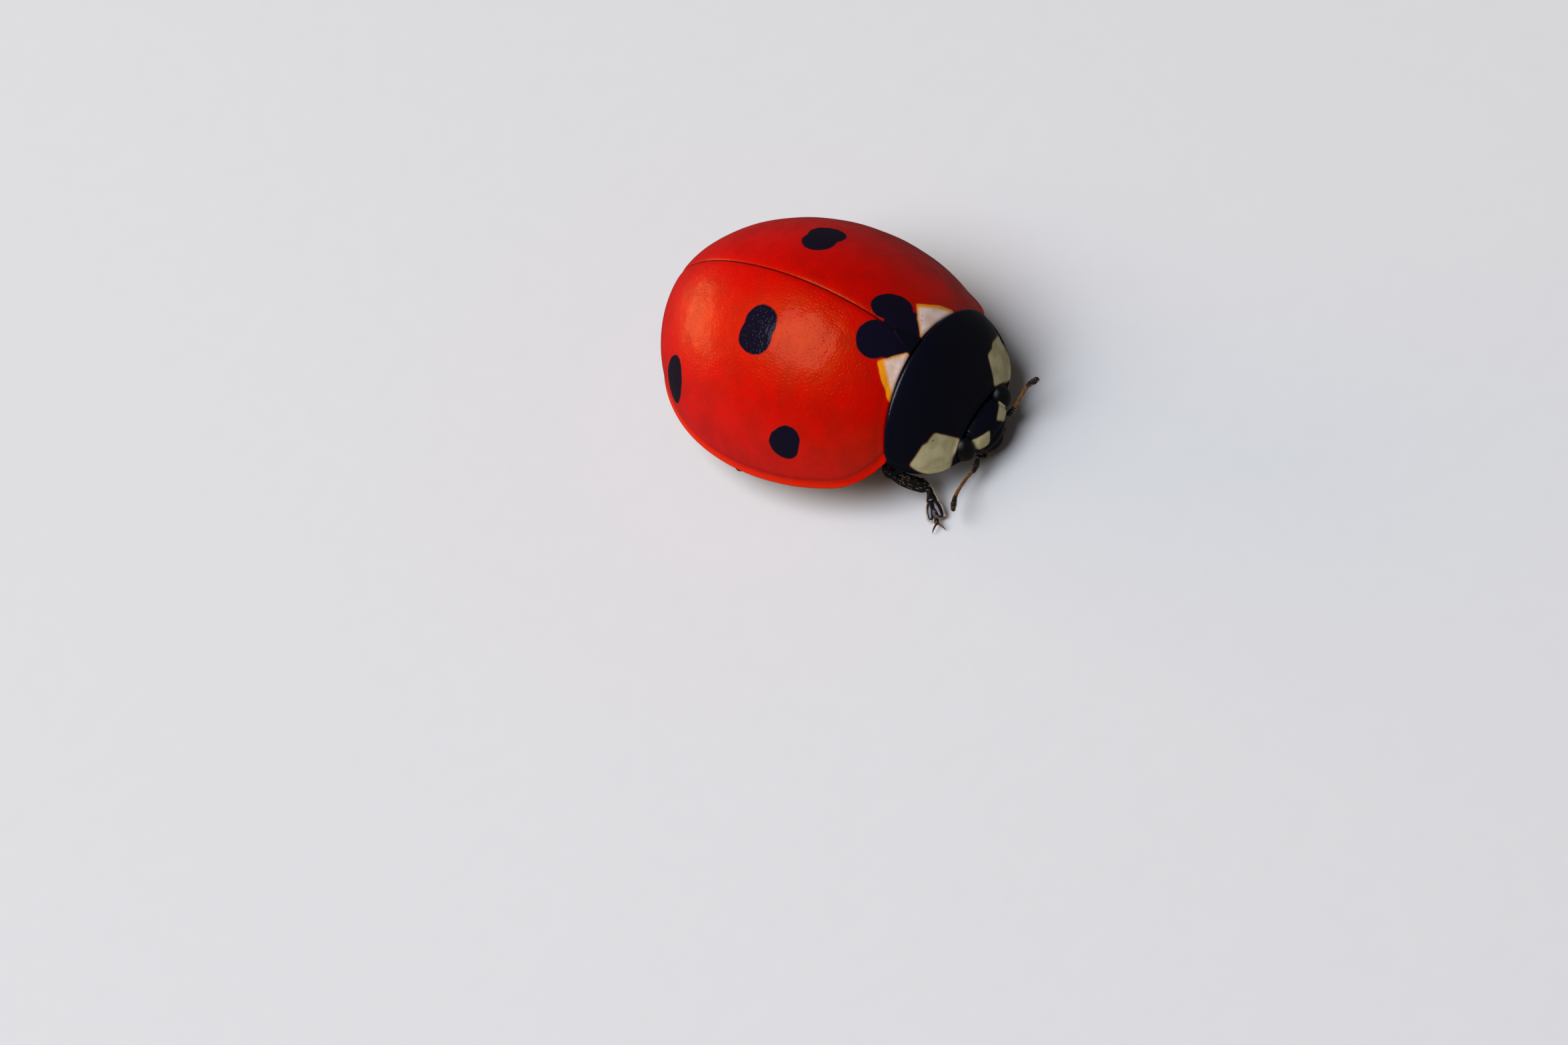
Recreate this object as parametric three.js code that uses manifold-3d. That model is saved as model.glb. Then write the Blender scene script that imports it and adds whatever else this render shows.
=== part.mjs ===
// Seven-spot ladybird, Coccinella septempunctata, standing on its six feet. Life size.
// Millimetres, +Z up. The animal faces -Y and its left side is +X.
// Points are given as (across, forward, height): across to the animal's left, forward from the widest
// place of the wing cases, and height above the plane of their lower edge, the rim.

import * as THREE from 'three';
import { LoftGeometry } from 'three/addons/geometries/LoftGeometry.js';
import { mergeVertices } from 'three/addons/utils/BufferGeometryUtils.js';
import Module from 'manifold-3d';

const wasm = await Module();
wasm.setup();

// ---- driving dimensions ----

const RIM_HEIGHT = 1.05; // the rim above the floor
const BODY_GAP = 0.2; // clear space between neighbouring body parts
const JOINT_GAP = 0.12; // clear space round the eyes, the antennae and the legs' roots

// The wing cases together are one dome. Its plan, profile and cross-section are powers of sines.
const DOME = {
  halfWidth: 2.85,
  rearLength: 3.61,
  frontLength: 3.55, // of the plan
  frontProfileLength: 3.37, // of the height, which falls a little more slowly
  height: 2.97,
  planPower: 0.975,
  profilePower: 0.887,
  sectionPower: 1.05,
  frontAngle: -60, // degrees, just past the base
};
const SHELL = 0.5; // thickness of a wing case
const SUTURE_GAP = 0.2;

const BASE = 2.69; // forward place of the line where pronotum and wing cases meet
const SHOULDER = { start: 1.6, rise: 0.5 }; // from start the rim climbs to the front corner

// The pronotum's stations from the hind edge to the front edge.
const PRONOTUM = {
  forward: [BASE, 3.22, 3.6],
  sideBack: [0, 0.07, 0.05], // how far the side margin lies behind the middle
  halfWidth: [1.88, 1.66, 1.1],
  top: [1.88, 1.3, 0.22],
  margin: [0.46, 0.05, -0.3],
  belly: [-0.34, -0.4, -0.52],
  archPower: 1.15, // over 1 is a little more pointed than an ellipse
  bellyPower: 1.6, // over 1 is flatter in the middle
};

const HEAD = { at: [0, 3.5, -0.33], radii: [0.86, 0.48, 0.46] };
const EYE = { at: [0.68, 3.64, -0.19], radii: [0.25, 0.28, 0.28] };
const LABRUM = { at: [0, 3.83, -0.66], radii: [0.3, 0.14, 0.1] };
const MANDIBLE = { root: [0.24, 3.68, -0.74], tip: [0.05, 3.86, -0.8], radius: 0.085, tipRadius: 0.06 };
const PALP = [
  [0.3, 3.4, -0.72, 0.08, 0.08],
  [0.38, 3.6, -0.79, 0.08, 0.08],
  [0.36, 3.76, -0.81, 0.11, 0.08],
  [0.33, 3.84, -0.81, 0.12, 0.07],
];

// The body inside the wing cases fills this share of the room's height above the rim plane.
const TRUNK_FILL = 0.72;
const TRUNK_LEVEL = 0.06; // height of the trunk's widest line
const THORAX = { front: 2.33, rear: 0.45, belly: -0.28 };
const ABDOMEN = { front: 0.25, rear: -2.88, belly: -0.24, lastPlate: -2.79, lastPlateShrink: 0.8 };
const STERNITES = 6;
const STERNITE_GROOVE = { depth: 0.05, halfWidth: 0.05 };
const SCUTELLUM = { front: 2.5, rear: 1.95, halfWidth: 0.22, foot: 1.0 };

// Limbs: each station is [across, forward, height, half width, half height].
const ANTENNAE = {
  right: [
    [-0.75, 3.77, -0.63, 0.15, 0.15],
    [-1.0, 3.75, -0.61, 0.2, 0.2],
    [-1.36, 3.77, -0.57, 0.22, 0.22],
    [-1.59, 3.84, -0.52, 0.23, 0.23],
    [-1.79, 3.95, -0.46, 0.25, 0.25],
    [-1.88, 4.01, -0.44, 0.22, 0.22],
  ],
  left: [
    [0.72, 3.8, -0.6, 0.15, 0.15],
    [0.8, 3.89, -0.42, 0.2, 0.2],
    [0.91, 3.98, -0.22, 0.22, 0.22],
    [1.05, 4.08, -0.05, 0.23, 0.23],
    [1.12, 4.22, 0.06, 0.25, 0.25],
    [1.15, 4.29, 0.12, 0.22, 0.22],
  ],
};

// Each leg by its coxa, knee, ankle, pad and claw tip; the pad's underside is the foot.
const LEGS = {
  leg_fore_right: {
    coxa: [-0.42, 2.62, -0.5],
    knee: [-1.72, 2.42, -0.16],
    ankle: [-1.44, 3.06, -0.71],
    pad: [-1.93, 3.48, -0.9],
    claw: [-2.17, 3.68, -1.0],
  },
  leg_fore_left: {
    coxa: [0.42, 2.62, -0.5],
    knee: [1.8, 2.78, -0.16],
    ankle: [1.6, 2.27, -0.73],
    pad: [2.0, 1.96, -0.9],
    claw: [2.21, 1.8, -1.0],
  },
  leg_mid_right: {
    coxa: [-0.55, 1.45, -0.42],
    knee: [-2.02, 0.95, -0.5],
    ankle: [-1.66, 0.24, -0.78],
    pad: [-1.92, -0.18, -0.9],
    claw: [-2.02, -0.42, -1.0],
  },
  leg_mid_left: {
    coxa: [0.55, 1.45, -0.42],
    knee: [2.2, 1.05, -0.5],
    ankle: [2.1, 0.33, -0.76],
    pad: [2.45, -0.02, -0.9],
    claw: [2.62, -0.2, -1.0],
  },
  leg_hind_right: {
    coxa: [-0.62, 0.4, -0.4],
    knee: [-2.58, -0.72, -0.45],
    ankle: [-1.9, -1.42, -0.77],
    pad: [-1.78, -1.84, -0.9],
    claw: [-1.72, -2.1, -1.0],
  },
  leg_hind_left: {
    coxa: [0.62, 0.4, -0.4],
    knee: [2.42, -0.78, -0.48],
    ankle: [2.08, -1.58, -0.77],
    pad: [2.3, -2.02, -0.9],
    claw: [2.42, -2.26, -1.0],
  },
};
const LEG = {
  coxaRadius: 0.27,
  trochanterRadius: 0.2,
  femurRadius: 0.27,
  kneeRadius: 0.22,
  tibiaRootRadius: 0.18,
  tibiaRadius: 0.23,
  ankleRadius: 0.17,
  stalkRadius: 0.13,
  padHalfWidth: 0.22,
  padHalfHeight: 0.2,
  clawSegmentRadius: 0.09,
  clawRadius: 0.055,
  clawTipRadius: 0.025,
  clawRootSpread: 0.035,
  clawSpread: 0.14,
};
// Places along a leg, as shares of the way from one named point to the next.
const LEG_PLACES = {
  femurRoot: 0.24,
  femurMiddle: 0.6,
  tibiaMiddle: 0.5,
  stalk: 0.4,
  padEnd: 0.35,
  clawRoot: 0.68,
  clawBend: 0.6,
};

// How finely the round forms are divided.
const DOME_RINGS = 20;
const DOME_STEPS = 22;
const INNER_RINGS = 12;
const INNER_STEPS = 14;
const TRUNK_STEPS = 12;
const PRONOTUM_RINGS = 9;
const PRONOTUM_STEPS = 18;
const BALL_SIDES = 18;
const BALL_ROWS_PER_SIDE = 0.6;
const LIMB_SIDES = 8;
const SMALL_SIDES = 6;
const CLAW_SIDES = 5;
const EDGE_STEPS = 14; // along the climbing rim
const THORAX_STEPS = 5;

const TOLERANCE = 0.004; // corners nearer than this are one corner
const FAR = 12; // larger than the animal, for cutting blocks

const DEGREE = Math.PI / 180;

// ---- geometry helpers ----

function place(across, forward, height) {
  return new THREE.Vector3(across, -forward, RIM_HEIGHT + height);
}

// A closed geometry as a solid, with shared corners merged and collapsed triangles left out.
function solid(geometry) {
  const bare = new THREE.BufferGeometry();
  bare.setAttribute('position', geometry.getAttribute('position'));
  bare.setIndex(geometry.getIndex());
  const merged = mergeVertices(bare, TOLERANCE / 4);
  const corners = merged.getIndex().array;
  const kept = [];
  for (let i = 0; i < corners.length; i += 3) {
    const [a, b, c] = corners.slice(i, i + 3);
    if (a !== b && b !== c && c !== a) {
      kept.push(a, b, c);
    }
  }
  const vertProperties = Float32Array.from(merged.getAttribute('position').array);
  const triVerts = Uint32Array.from(kept);
  return new wasm.Manifold(new wasm.Mesh({ numProp: 3, vertProperties, triVerts, tolerance: TOLERANCE }));
}

// The largest closed surface of a solid, as a geometry.
function largestGeometry(shape) {
  const bodies = shape.decompose();
  bodies.sort((a, b) => b.volume() - a.volume());
  const { vertProperties, triVerts } = bodies[0].getMesh();
  const geometry = new THREE.BufferGeometry();
  geometry.setAttribute('position', new THREE.BufferAttribute(vertProperties, 3));
  geometry.setIndex(new THREE.BufferAttribute(triVerts, 1));
  geometry.computeVertexNormals();
  return geometry;
}

function union(shapes) {
  return shapes.reduce((whole, shape) => whole.add(shape));
}

function cut(shape, tools) {
  return tools.reduce((rest, tool) => rest.subtract(tool), shape);
}

// A block between two (across, forward, height) corners.
function block(low, high) {
  const a = place(...low);
  const b = place(...high);
  const size = b.clone().sub(a);
  const box = new THREE.BoxGeometry(Math.abs(size.x), Math.abs(size.y), Math.abs(size.z));
  const middle = a.add(b).multiplyScalar(0.5);
  box.translate(middle.x, middle.y, middle.z);
  return solid(box);
}

function ball({ at, radii }, grow = 0, side = 1, sides = BALL_SIDES) {
  const sphere = new THREE.SphereGeometry(1, sides, Math.round(sides * BALL_ROWS_PER_SIDE));
  const [rx, ry, rz] = radii;
  sphere.scale(rx + grow, ry + grow, rz + grow);
  const centre = place(side * at[0], at[1], at[2]);
  sphere.translate(centre.x, centre.y, centre.z);
  return solid(sphere);
}

// A bent limb through its stations, with round ends.
function limb(stations, grow = 0, sides = LIMB_SIDES) {
  const centres = stations.map(([x, f, h]) => place(x, f, h));
  const tangents = centres.map((centre, i) => {
    const before = centres[Math.max(i - 1, 0)];
    const after = centres[Math.min(i + 1, centres.length - 1)];
    return after.clone().sub(before).normalize();
  });
  const rings = [];
  const addRing = (i, along, scale) => {
    const [, , , halfWidth, halfHeight] = stations[i];
    const side = new THREE.Vector3().crossVectors(tangents[i], THREE.Object3D.DEFAULT_UP).normalize();
    const up = new THREE.Vector3().crossVectors(side, tangents[i]);
    const centre = centres[i].clone().addScaledVector(tangents[i], along);
    const ring = [];
    for (let k = 0; k < sides; k += 1) {
      const turn = (-2 * Math.PI * k) / sides;
      const point = centre.clone();
      point.addScaledVector(side, Math.cos(turn) * (halfWidth + grow) * scale);
      point.addScaledVector(up, Math.sin(turn) * (halfHeight + grow) * scale);
      ring.push(point);
    }
    rings.push(ring);
  };
  const last = stations.length - 1;
  const startRadius = stations[0][4] + grow;
  const endRadius = stations[last][4] + grow;
  addRing(0, -startRadius, 0);
  addRing(0, -startRadius * Math.SQRT1_2, Math.SQRT1_2);
  stations.forEach((station, i) => addRing(i, 0, 1));
  addRing(last, endRadius * Math.SQRT1_2, Math.SQRT1_2);
  addRing(last, endRadius, 0);
  return solid(new LoftGeometry(rings));
}

// The value at share t of the way through three even stations, on a smooth curve.
function through([start, middle, end], t) {
  return start * (2 * t - 1) * (t - 1) + middle * 4 * t * (1 - t) + end * t * (2 * t - 1);
}

function mix(a, b, t) {
  return a.map((value, i) => value + (b[i] - value) * t);
}

// ---- the dome of the wing cases ----

// Half width and height of the dome at a forward place, shrunk all round by an inset.
function domeWidth(forward, inset = 0) {
  const reach = (forward > 0 ? DOME.frontLength : DOME.rearLength) - inset;
  const share = Math.max(0, 1 - (forward / reach) ** 2);
  return (DOME.halfWidth - inset) * share ** (DOME.planPower / 2);
}

function domeHeight(forward, inset = 0) {
  const reach = (forward > 0 ? DOME.frontProfileLength : DOME.rearLength) - inset;
  const share = Math.max(0, 1 - (forward / reach) ** 2);
  return (DOME.height - inset) * share ** (DOME.profilePower / 2);
}

function signedPower(value, power) {
  return Math.sign(value) * Math.abs(value) ** power;
}

// The filled dome. The drop carries its sides straight down below the rim plane.
function dome(inset, drop, rings, steps) {
  const sections = [];
  for (let i = 0; i <= rings; i += 1) {
    const angle = (DOME.frontAngle + ((90 - DOME.frontAngle) * i) / rings) * DEGREE;
    const reach = (angle < 0 ? DOME.frontLength : DOME.rearLength) - inset;
    const forward = i === rings ? -reach : -reach * Math.sin(angle);
    const width = domeWidth(forward, inset);
    const height = domeHeight(forward, inset);
    const section = [];
    for (let k = 0; k <= steps; k += 1) {
      const turn = (-90 + (180 * k) / steps) * DEGREE;
      const across = width * signedPower(Math.sin(turn), DOME.sectionPower);
      section.push(place(across, forward, height * Math.max(0, Math.cos(turn)) ** DOME.sectionPower));
    }
    if (drop > 0) {
      const foot = i === rings ? 0 : drop;
      section.push(place(width, forward, -foot), place(-width, forward, -foot));
    }
    sections.push(section);
  }
  return solid(new LoftGeometry(sections, { capStart: true }));
}

// All that lies below the rim where it climbs to the front corner.
function shoulderCutter() {
  const { start, rise } = SHOULDER;
  const shape = new THREE.Shape();
  shape.moveTo(start, -RIM_HEIGHT);
  for (let i = 0; i <= EDGE_STEPS; i += 1) {
    const share = i / EDGE_STEPS;
    shape.lineTo(start + (BASE - start) * share, rise * share ** 2);
  }
  shape.lineTo(BASE, -RIM_HEIGHT);
  shape.closePath();
  const prism = new THREE.ExtrudeGeometry(shape, { depth: 2 * FAR, bevelEnabled: false });
  // profile (forward, height) to the world: forward is -Y, height is Z, the depth runs across
  const turn = new THREE.Matrix4().makeBasis(
    new THREE.Vector3(0, -1, 0),
    new THREE.Vector3(0, 0, 1),
    new THREE.Vector3(-1, 0, 0),
  );
  prism.applyMatrix4(turn);
  prism.translate(FAR, 0, RIM_HEIGHT);
  return solid(prism);
}

// ---- legs and antennae ----

function legParts(name, grow) {
  const { coxa, knee, ankle, pad, claw } = LEGS[name];
  const station = (at, halfWidth, halfHeight = halfWidth) => [...at, halfWidth, halfHeight];
  const femurRoot = mix(coxa, knee, LEG_PLACES.femurRoot);
  const femurMiddle = mix(coxa, knee, LEG_PLACES.femurMiddle);
  const tibiaMiddle = mix(knee, ankle, LEG_PLACES.tibiaMiddle);
  const stalk = mix(ankle, pad, LEG_PLACES.stalk);
  const padEnd = mix(pad, claw, LEG_PLACES.padEnd);
  const clawRoot = mix(pad, claw, LEG_PLACES.clawRoot);
  const parts = [
    ball({ at: coxa, radii: [LEG.coxaRadius, LEG.coxaRadius, LEG.coxaRadius] }, grow, 1, LIMB_SIDES),
    limb([
      station(coxa, LEG.trochanterRadius),
      station(femurRoot, LEG.trochanterRadius),
      station(femurMiddle, LEG.femurRadius),
      station(knee, LEG.kneeRadius),
    ], grow),
    limb([
      station(knee, LEG.tibiaRootRadius),
      station(tibiaMiddle, LEG.tibiaRadius),
      station(ankle, LEG.ankleRadius),
    ], grow),
    limb([
      station(ankle, LEG.stalkRadius),
      station(stalk, LEG.stalkRadius),
      station(pad, LEG.padHalfWidth, LEG.padHalfHeight),
      station(padEnd, LEG.clawSegmentRadius),
      station(clawRoot, LEG.clawSegmentRadius),
    ], grow),
  ];
  const ahead = new THREE.Vector2(claw[0] - pad[0], claw[1] - pad[1]).normalize();
  for (const side of [-1, 1]) {
    const aside = (at, spread) => [at[0] - ahead.y * side * spread, at[1] + ahead.x * side * spread, at[2]];
    const tip = aside(claw, LEG.clawSpread);
    const root = aside(clawRoot, LEG.clawRootSpread);
    const bend = mix(root, tip, LEG_PLACES.clawBend);
    bend[2] += LEG.clawRadius;
    parts.push(limb([
      station(root, LEG.clawRadius),
      station(bend, LEG.clawRadius),
      station(tip, LEG.clawTipRadius),
    ], grow, CLAW_SIDES));
  }
  return parts;
}

function wholeLeg(name, grow = 0) {
  return union(legParts(name, grow));
}

// ---- body parts ----

function eye(side, grow = 0) {
  return ball(EYE, grow, side);
}

function antenna(side, grow = 0) {
  return limb(side > 0 ? ANTENNAE.left : ANTENNAE.right, grow);
}

function mirrored(stations, side) {
  return stations.map(([x, ...rest]) => [side * x, ...rest]);
}

function wholeHead() {
  const parts = [ball(HEAD), ball(LABRUM)];
  const { root, tip, radius, tipRadius } = MANDIBLE;
  for (const side of [-1, 1]) {
    const jaw = [[...root, radius, radius], [...tip, tipRadius, tipRadius]];
    parts.push(limb(mirrored(jaw, side), 0, SMALL_SIDES));
    parts.push(limb(mirrored(PALP, side), 0, SMALL_SIDES));
  }
  return union(parts);
}

// A closed ring: an arch over the top from right to left and one back underneath.
function archedSection(steps, topPoint, bottomPoint) {
  const ring = [];
  for (let k = 0; k <= steps; k += 1) {
    ring.push(topPoint((-90 + (180 * k) / steps) * DEGREE));
  }
  for (let k = steps - 1; k > 0; k -= 1) {
    ring.push(bottomPoint((-90 + (180 * k) / steps) * DEGREE));
  }
  return ring;
}

function wholePronotum() {
  const sections = [];
  for (let i = PRONOTUM_RINGS; i >= 0; i -= 1) {
    const t = i / PRONOTUM_RINGS;
    const halfWidth = through(PRONOTUM.halfWidth, t);
    const middle = through(PRONOTUM.forward, t) + (BODY_GAP / 2) * (1 - t);
    const back = through(PRONOTUM.sideBack, t);
    const top = through(PRONOTUM.top, t);
    const margin = through(PRONOTUM.margin, t);
    const belly = through(PRONOTUM.belly, t);
    const point = (turn, height) => {
      const share = Math.sin(turn);
      return place(halfWidth * share, middle - back * share ** 4, height);
    };
    sections.push(archedSection(
      PRONOTUM_STEPS,
      (turn) => point(turn, margin + (top - margin) * Math.max(0, Math.cos(turn)) ** PRONOTUM.archPower),
      (turn) => point(turn, belly + (margin - belly) * Math.abs(Math.sin(turn)) ** PRONOTUM.bellyPower),
    ));
  }
  return solid(new LoftGeometry(sections, { capStart: true, capEnd: true }));
}

// The trunk inside the wing cases, between two forward places.
function trunkSection(forward, belly, shrink = 1) {
  const room = SHELL + BODY_GAP;
  const halfWidth = domeWidth(forward, room) * shrink;
  const top = TRUNK_LEVEL + (domeHeight(forward, room) * TRUNK_FILL - TRUNK_LEVEL) * shrink;
  return archedSection(
    TRUNK_STEPS,
    (turn) => place(
      halfWidth * Math.sin(turn),
      forward,
      TRUNK_LEVEL + (top - TRUNK_LEVEL) * Math.max(0, Math.cos(turn)),
    ),
    (turn) => place(
      halfWidth * Math.sin(turn),
      forward,
      TRUNK_LEVEL + (belly - TRUNK_LEVEL) * Math.max(0, Math.cos(turn)),
    ),
  );
}

function wholeThorax() {
  const sections = [];
  for (let i = 0; i <= THORAX_STEPS; i += 1) {
    const forward = THORAX.front + ((THORAX.rear - THORAX.front) * i) / THORAX_STEPS;
    sections.push(trunkSection(forward, THORAX.belly));
  }
  return solid(new LoftGeometry(sections, { capStart: true, capEnd: true }));
}

// A wedge that rises from the thorax to the dome's surface between the wing cases' bases.
function scutellum(grow = 0) {
  const { front, rear, halfWidth, foot } = SCUTELLUM;
  const ring = (lift) => {
    const width = halfWidth + grow;
    const corners = [[-width, front + grow], [width, front + grow], [0, rear - 2 * grow]];
    return corners.map(([x, f]) => place(x, f, lift === null ? foot : domeHeight(f) + lift));
  };
  return solid(new LoftGeometry([ring(null), ring(grow)], { capStart: true, capEnd: true }));
}

function wholeAbdomen() {
  const sections = [trunkSection(ABDOMEN.front, ABDOMEN.belly)];
  const length = ABDOMEN.front - ABDOMEN.rear;
  for (let i = 1; i < STERNITES; i += 1) {
    const forward = ABDOMEN.front - (length * i) / STERNITES;
    const { depth, halfWidth } = STERNITE_GROOVE;
    const taper = 1 - (i / STERNITES) ** 2;
    const belly = ABDOMEN.belly * taper;
    sections.push(trunkSection(forward + halfWidth, belly));
    sections.push(trunkSection(forward, belly + depth));
    sections.push(trunkSection(forward - halfWidth, belly));
  }
  sections.push(trunkSection(ABDOMEN.lastPlate, 0, ABDOMEN.lastPlateShrink));
  sections.push(trunkSection(ABDOMEN.rear, 0, 0));
  return solid(new LoftGeometry(sections, { capStart: true }));
}

// ---- the whole animal ----

const floorCutter = block([-FAR, -FAR, -RIM_HEIGHT - FAR], [FAR, FAR, -RIM_HEIGHT]);
const legNames = Object.keys(LEGS);
const legRoom = legNames.map((name) => wholeLeg(name, JOINT_GAP));
const eyeRoom = [-1, 1].map((side) => eye(side, JOINT_GAP));
const antennaRoom = [-1, 1].map((side) => antenna(side, JOINT_GAP));
const headRoom = ball({ at: HEAD.at, radii: HEAD.radii }, JOINT_GAP);

const shell = cut(dome(0, 0, DOME_RINGS, DOME_STEPS), [
  dome(SHELL, 1, INNER_RINGS, INNER_STEPS),
  block([-FAR, BASE - BODY_GAP / 2, -FAR], [FAR, FAR, FAR]),
  shoulderCutter(),
  scutellum(JOINT_GAP),
  ...legRoom,
]);

function elytron(side) {
  const inner = (side * SUTURE_GAP) / 2;
  return shell.intersect(block([inner, -FAR, -FAR], [side * FAR, FAR, FAR]));
}

const CUTICLE_BLACK = { color: 0x0c0b10, roughness: 0.3, metalness: 0 };
const LEG_BLACK = { color: 0x14100e, roughness: 0.45, metalness: 0 };
const EYE_BLACK = { color: 0x08070a, roughness: 0.15, metalness: 0 };
const ANTENNA_BROWN = { color: 0x59400f, roughness: 0.5, metalness: 0 };
const WING_CASE_RED = { color: 0xc8110b, roughness: 0.22, metalness: 0 };

const parts = {
  head: [cut(wholeHead(), [...eyeRoom, ...antennaRoom]), CUTICLE_BLACK],
  eye_left: [eye(1), EYE_BLACK],
  eye_right: [eye(-1), EYE_BLACK],
  antenna_left: [antenna(1), ANTENNA_BROWN],
  antenna_right: [antenna(-1), ANTENNA_BROWN],
  pronotum: [cut(wholePronotum(), [headRoom, ...eyeRoom, ...antennaRoom, ...legRoom]), CUTICLE_BLACK],
  elytron_left: [elytron(1), WING_CASE_RED],
  elytron_right: [elytron(-1), WING_CASE_RED],
  thorax: [cut(wholeThorax(), legRoom).add(scutellum()), CUTICLE_BLACK],
  abdomen: [cut(wholeAbdomen(), legRoom), CUTICLE_BLACK],
};
for (const name of legNames) {
  parts[name] = [cut(wholeLeg(name), [floorCutter]), LEG_BLACK];
}

const ladybird = new THREE.Group();
for (const [name, [shape, finish]] of Object.entries(parts)) {
  const mesh = new THREE.Mesh(largestGeometry(shape), new THREE.MeshStandardMaterial(finish));
  mesh.name = name;
  ladybird.add(mesh);
}

// The origin is at the middle of the ground that the animal covers.
const middle = new THREE.Box3().setFromObject(ladybird).getCenter(new THREE.Vector3());
ladybird.position.set(-middle.x, -middle.y, 0);

export default ladybird;
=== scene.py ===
"""A life-size seven-spot ladybird, Coccinella septempunctata, built round its fixed frame.

Shapes are worked out in the animal's own millimetres: (across, forward, height), with across to its left,
forward from the widest place of the wing cases and height above their lower edge. to_frame() turns them to
metres in the frame, where the animal faces -Y and stands on Z = 0.
"""

import math

import bmesh
import bpy
import numpy as np
from bpy.props import FloatProperty, FloatVectorProperty, IntProperty, PointerProperty
from mathutils import Matrix, Vector


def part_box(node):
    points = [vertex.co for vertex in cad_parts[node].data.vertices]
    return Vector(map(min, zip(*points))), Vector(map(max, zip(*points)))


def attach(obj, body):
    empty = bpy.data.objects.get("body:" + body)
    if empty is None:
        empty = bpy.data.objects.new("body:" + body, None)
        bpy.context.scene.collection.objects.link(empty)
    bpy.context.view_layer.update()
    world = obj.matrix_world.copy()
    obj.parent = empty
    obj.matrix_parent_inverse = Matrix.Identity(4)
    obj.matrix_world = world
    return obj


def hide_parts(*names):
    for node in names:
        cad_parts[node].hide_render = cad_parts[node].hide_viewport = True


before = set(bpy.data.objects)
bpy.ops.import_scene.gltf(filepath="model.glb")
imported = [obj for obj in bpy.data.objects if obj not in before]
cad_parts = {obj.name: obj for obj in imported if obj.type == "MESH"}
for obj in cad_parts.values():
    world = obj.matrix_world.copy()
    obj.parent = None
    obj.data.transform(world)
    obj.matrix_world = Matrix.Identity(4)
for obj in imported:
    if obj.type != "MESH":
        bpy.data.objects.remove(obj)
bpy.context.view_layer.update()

bl_info = {
    "name": "Seven-spot ladybird",
    "version": (1, 0, 0),
    "blender": (4, 5, 0),
    "location": "3D View > Sidebar > Ladybird",
    "description": "Builds a life-size seven-spot ladybird and its studio round a fixed frame",
    "category": "Object",
}

MM = 0.001
ROOT = "root"
SIDES = {"left": 1, "right": -1}

# ---- the animal's sizes, in millimetres ----

# The wing cases together are one dome. Its plan, profile and cross-section are powers of sines.
HALF_WIDTH = 2.85
REAR_LENGTH = 3.61
FRONT_LENGTH = 3.55  # of the plan
FRONT_PROFILE_LENGTH = 3.37  # of the height, which falls a little more slowly
DOME_HEIGHT = 2.97
PLAN_POWER = 0.975
PROFILE_POWER = 0.887
SECTION_POWER = 1.05
BASE = 2.69  # forward place of the line where pronotum and wing cases meet
SHOULDER_START = 1.6  # from here the rim climbs to the front corner
SHOULDER_RISE = 0.5
SHOULDER_KNOB_AT = (1.55, 2.02, 1.25)

# The sections of the bead along a wing case's rim and of the edge turned in behind it, as (how far inwards,
# how far up).
RIM_BEAD = ((0.004, -0.016), (0.022, -0.03), (0.05, -0.03), (0.075, -0.012))
TURNED_IN = ((0.12, 0.0), (0.2, 0.012), (0.3, 0.01), (0.4, -0.008), (0.44, -0.012), (0.455, 0.02))
RED_BEAD = 3  # points of the bead that are still red

ELYTRON_LOW, ELYTRON_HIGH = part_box("elytron_left")
RIM = ELYTRON_LOW.z / MM  # the lower edge's height above the floor
MIDDLE = ELYTRON_HIGH.y / MM - REAR_LENGTH  # the frame's Y where forward is 0

# The pronotum's stations: hind edge, middle, front edge.
PRONOTUM = {
    "forward": (BASE, 3.22, 3.6),
    "side_back": (0.0, 0.07, 0.05),
    "half_width": (1.88, 1.66, 1.1),
    "top": (1.88, 1.3, 0.22),
    "margin": (0.46, 0.05, -0.3),
    "belly": (-0.34, -0.4, -0.52),
}
PRONOTUM_ARCH = 1.15  # power of the cosine that its cross-section follows
PRONOTUM_BELLY = 1.6  # power of the sine that the breast's cross-section follows
COLLAR_CENTRE = (0, 3.6, -0.15)
COLLAR = ((0.01, 0.985), (0.05, 0.965), (0.16, 0.95), (0.34, 0.9))  # each ring: how far back, its size

SCUTELLUM = {"length": 0.4, "half_width": 0.21, "thickness": 0.12, "proud": 0.012}

HEAD_AT, HEAD_RADII = (0, 3.46, -0.31), (0.84, 0.45, 0.46)
EYE_AT, EYE_RADII = (0.67, 3.55, -0.19), (0.24, 0.26, 0.29)
FACE_PLATE_AT, FACE_PLATE_RADII = (0, 3.82, -0.56), (0.4, 0.2, 0.17)
ANTENNA_PIT_AT = (0.55, 3.76, -0.56)

# The left mouthparts' middle lines, from root to tip.
JAW = ((0.31, 3.54, -0.72), (0.27, 3.65, -0.78), (0.16, 3.73, -0.81), (0.02, 3.74, -0.81))
PALP = (
    (0.28, 3.32, -0.7), (0.35, 3.42, -0.79), (0.38, 3.52, -0.84), (0.36, 3.61, -0.85), (0.31, 3.7, -0.85),
)
SHORT_PALP = ((0.1, 3.56, -0.8), (0.13, 3.66, -0.86), (0.12, 3.76, -0.86))

# How far an eye's lens stands out at its edge, shoulder and top, as shares of the eye's radius, and where
# between its middle and its edge the shoulder lies.
LENS_EDGE, LENS_SHOULDER, LENS_TOP = 0.994, 1.002, 1.006
LENS_SHOULDER_AT = 0.62

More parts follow.
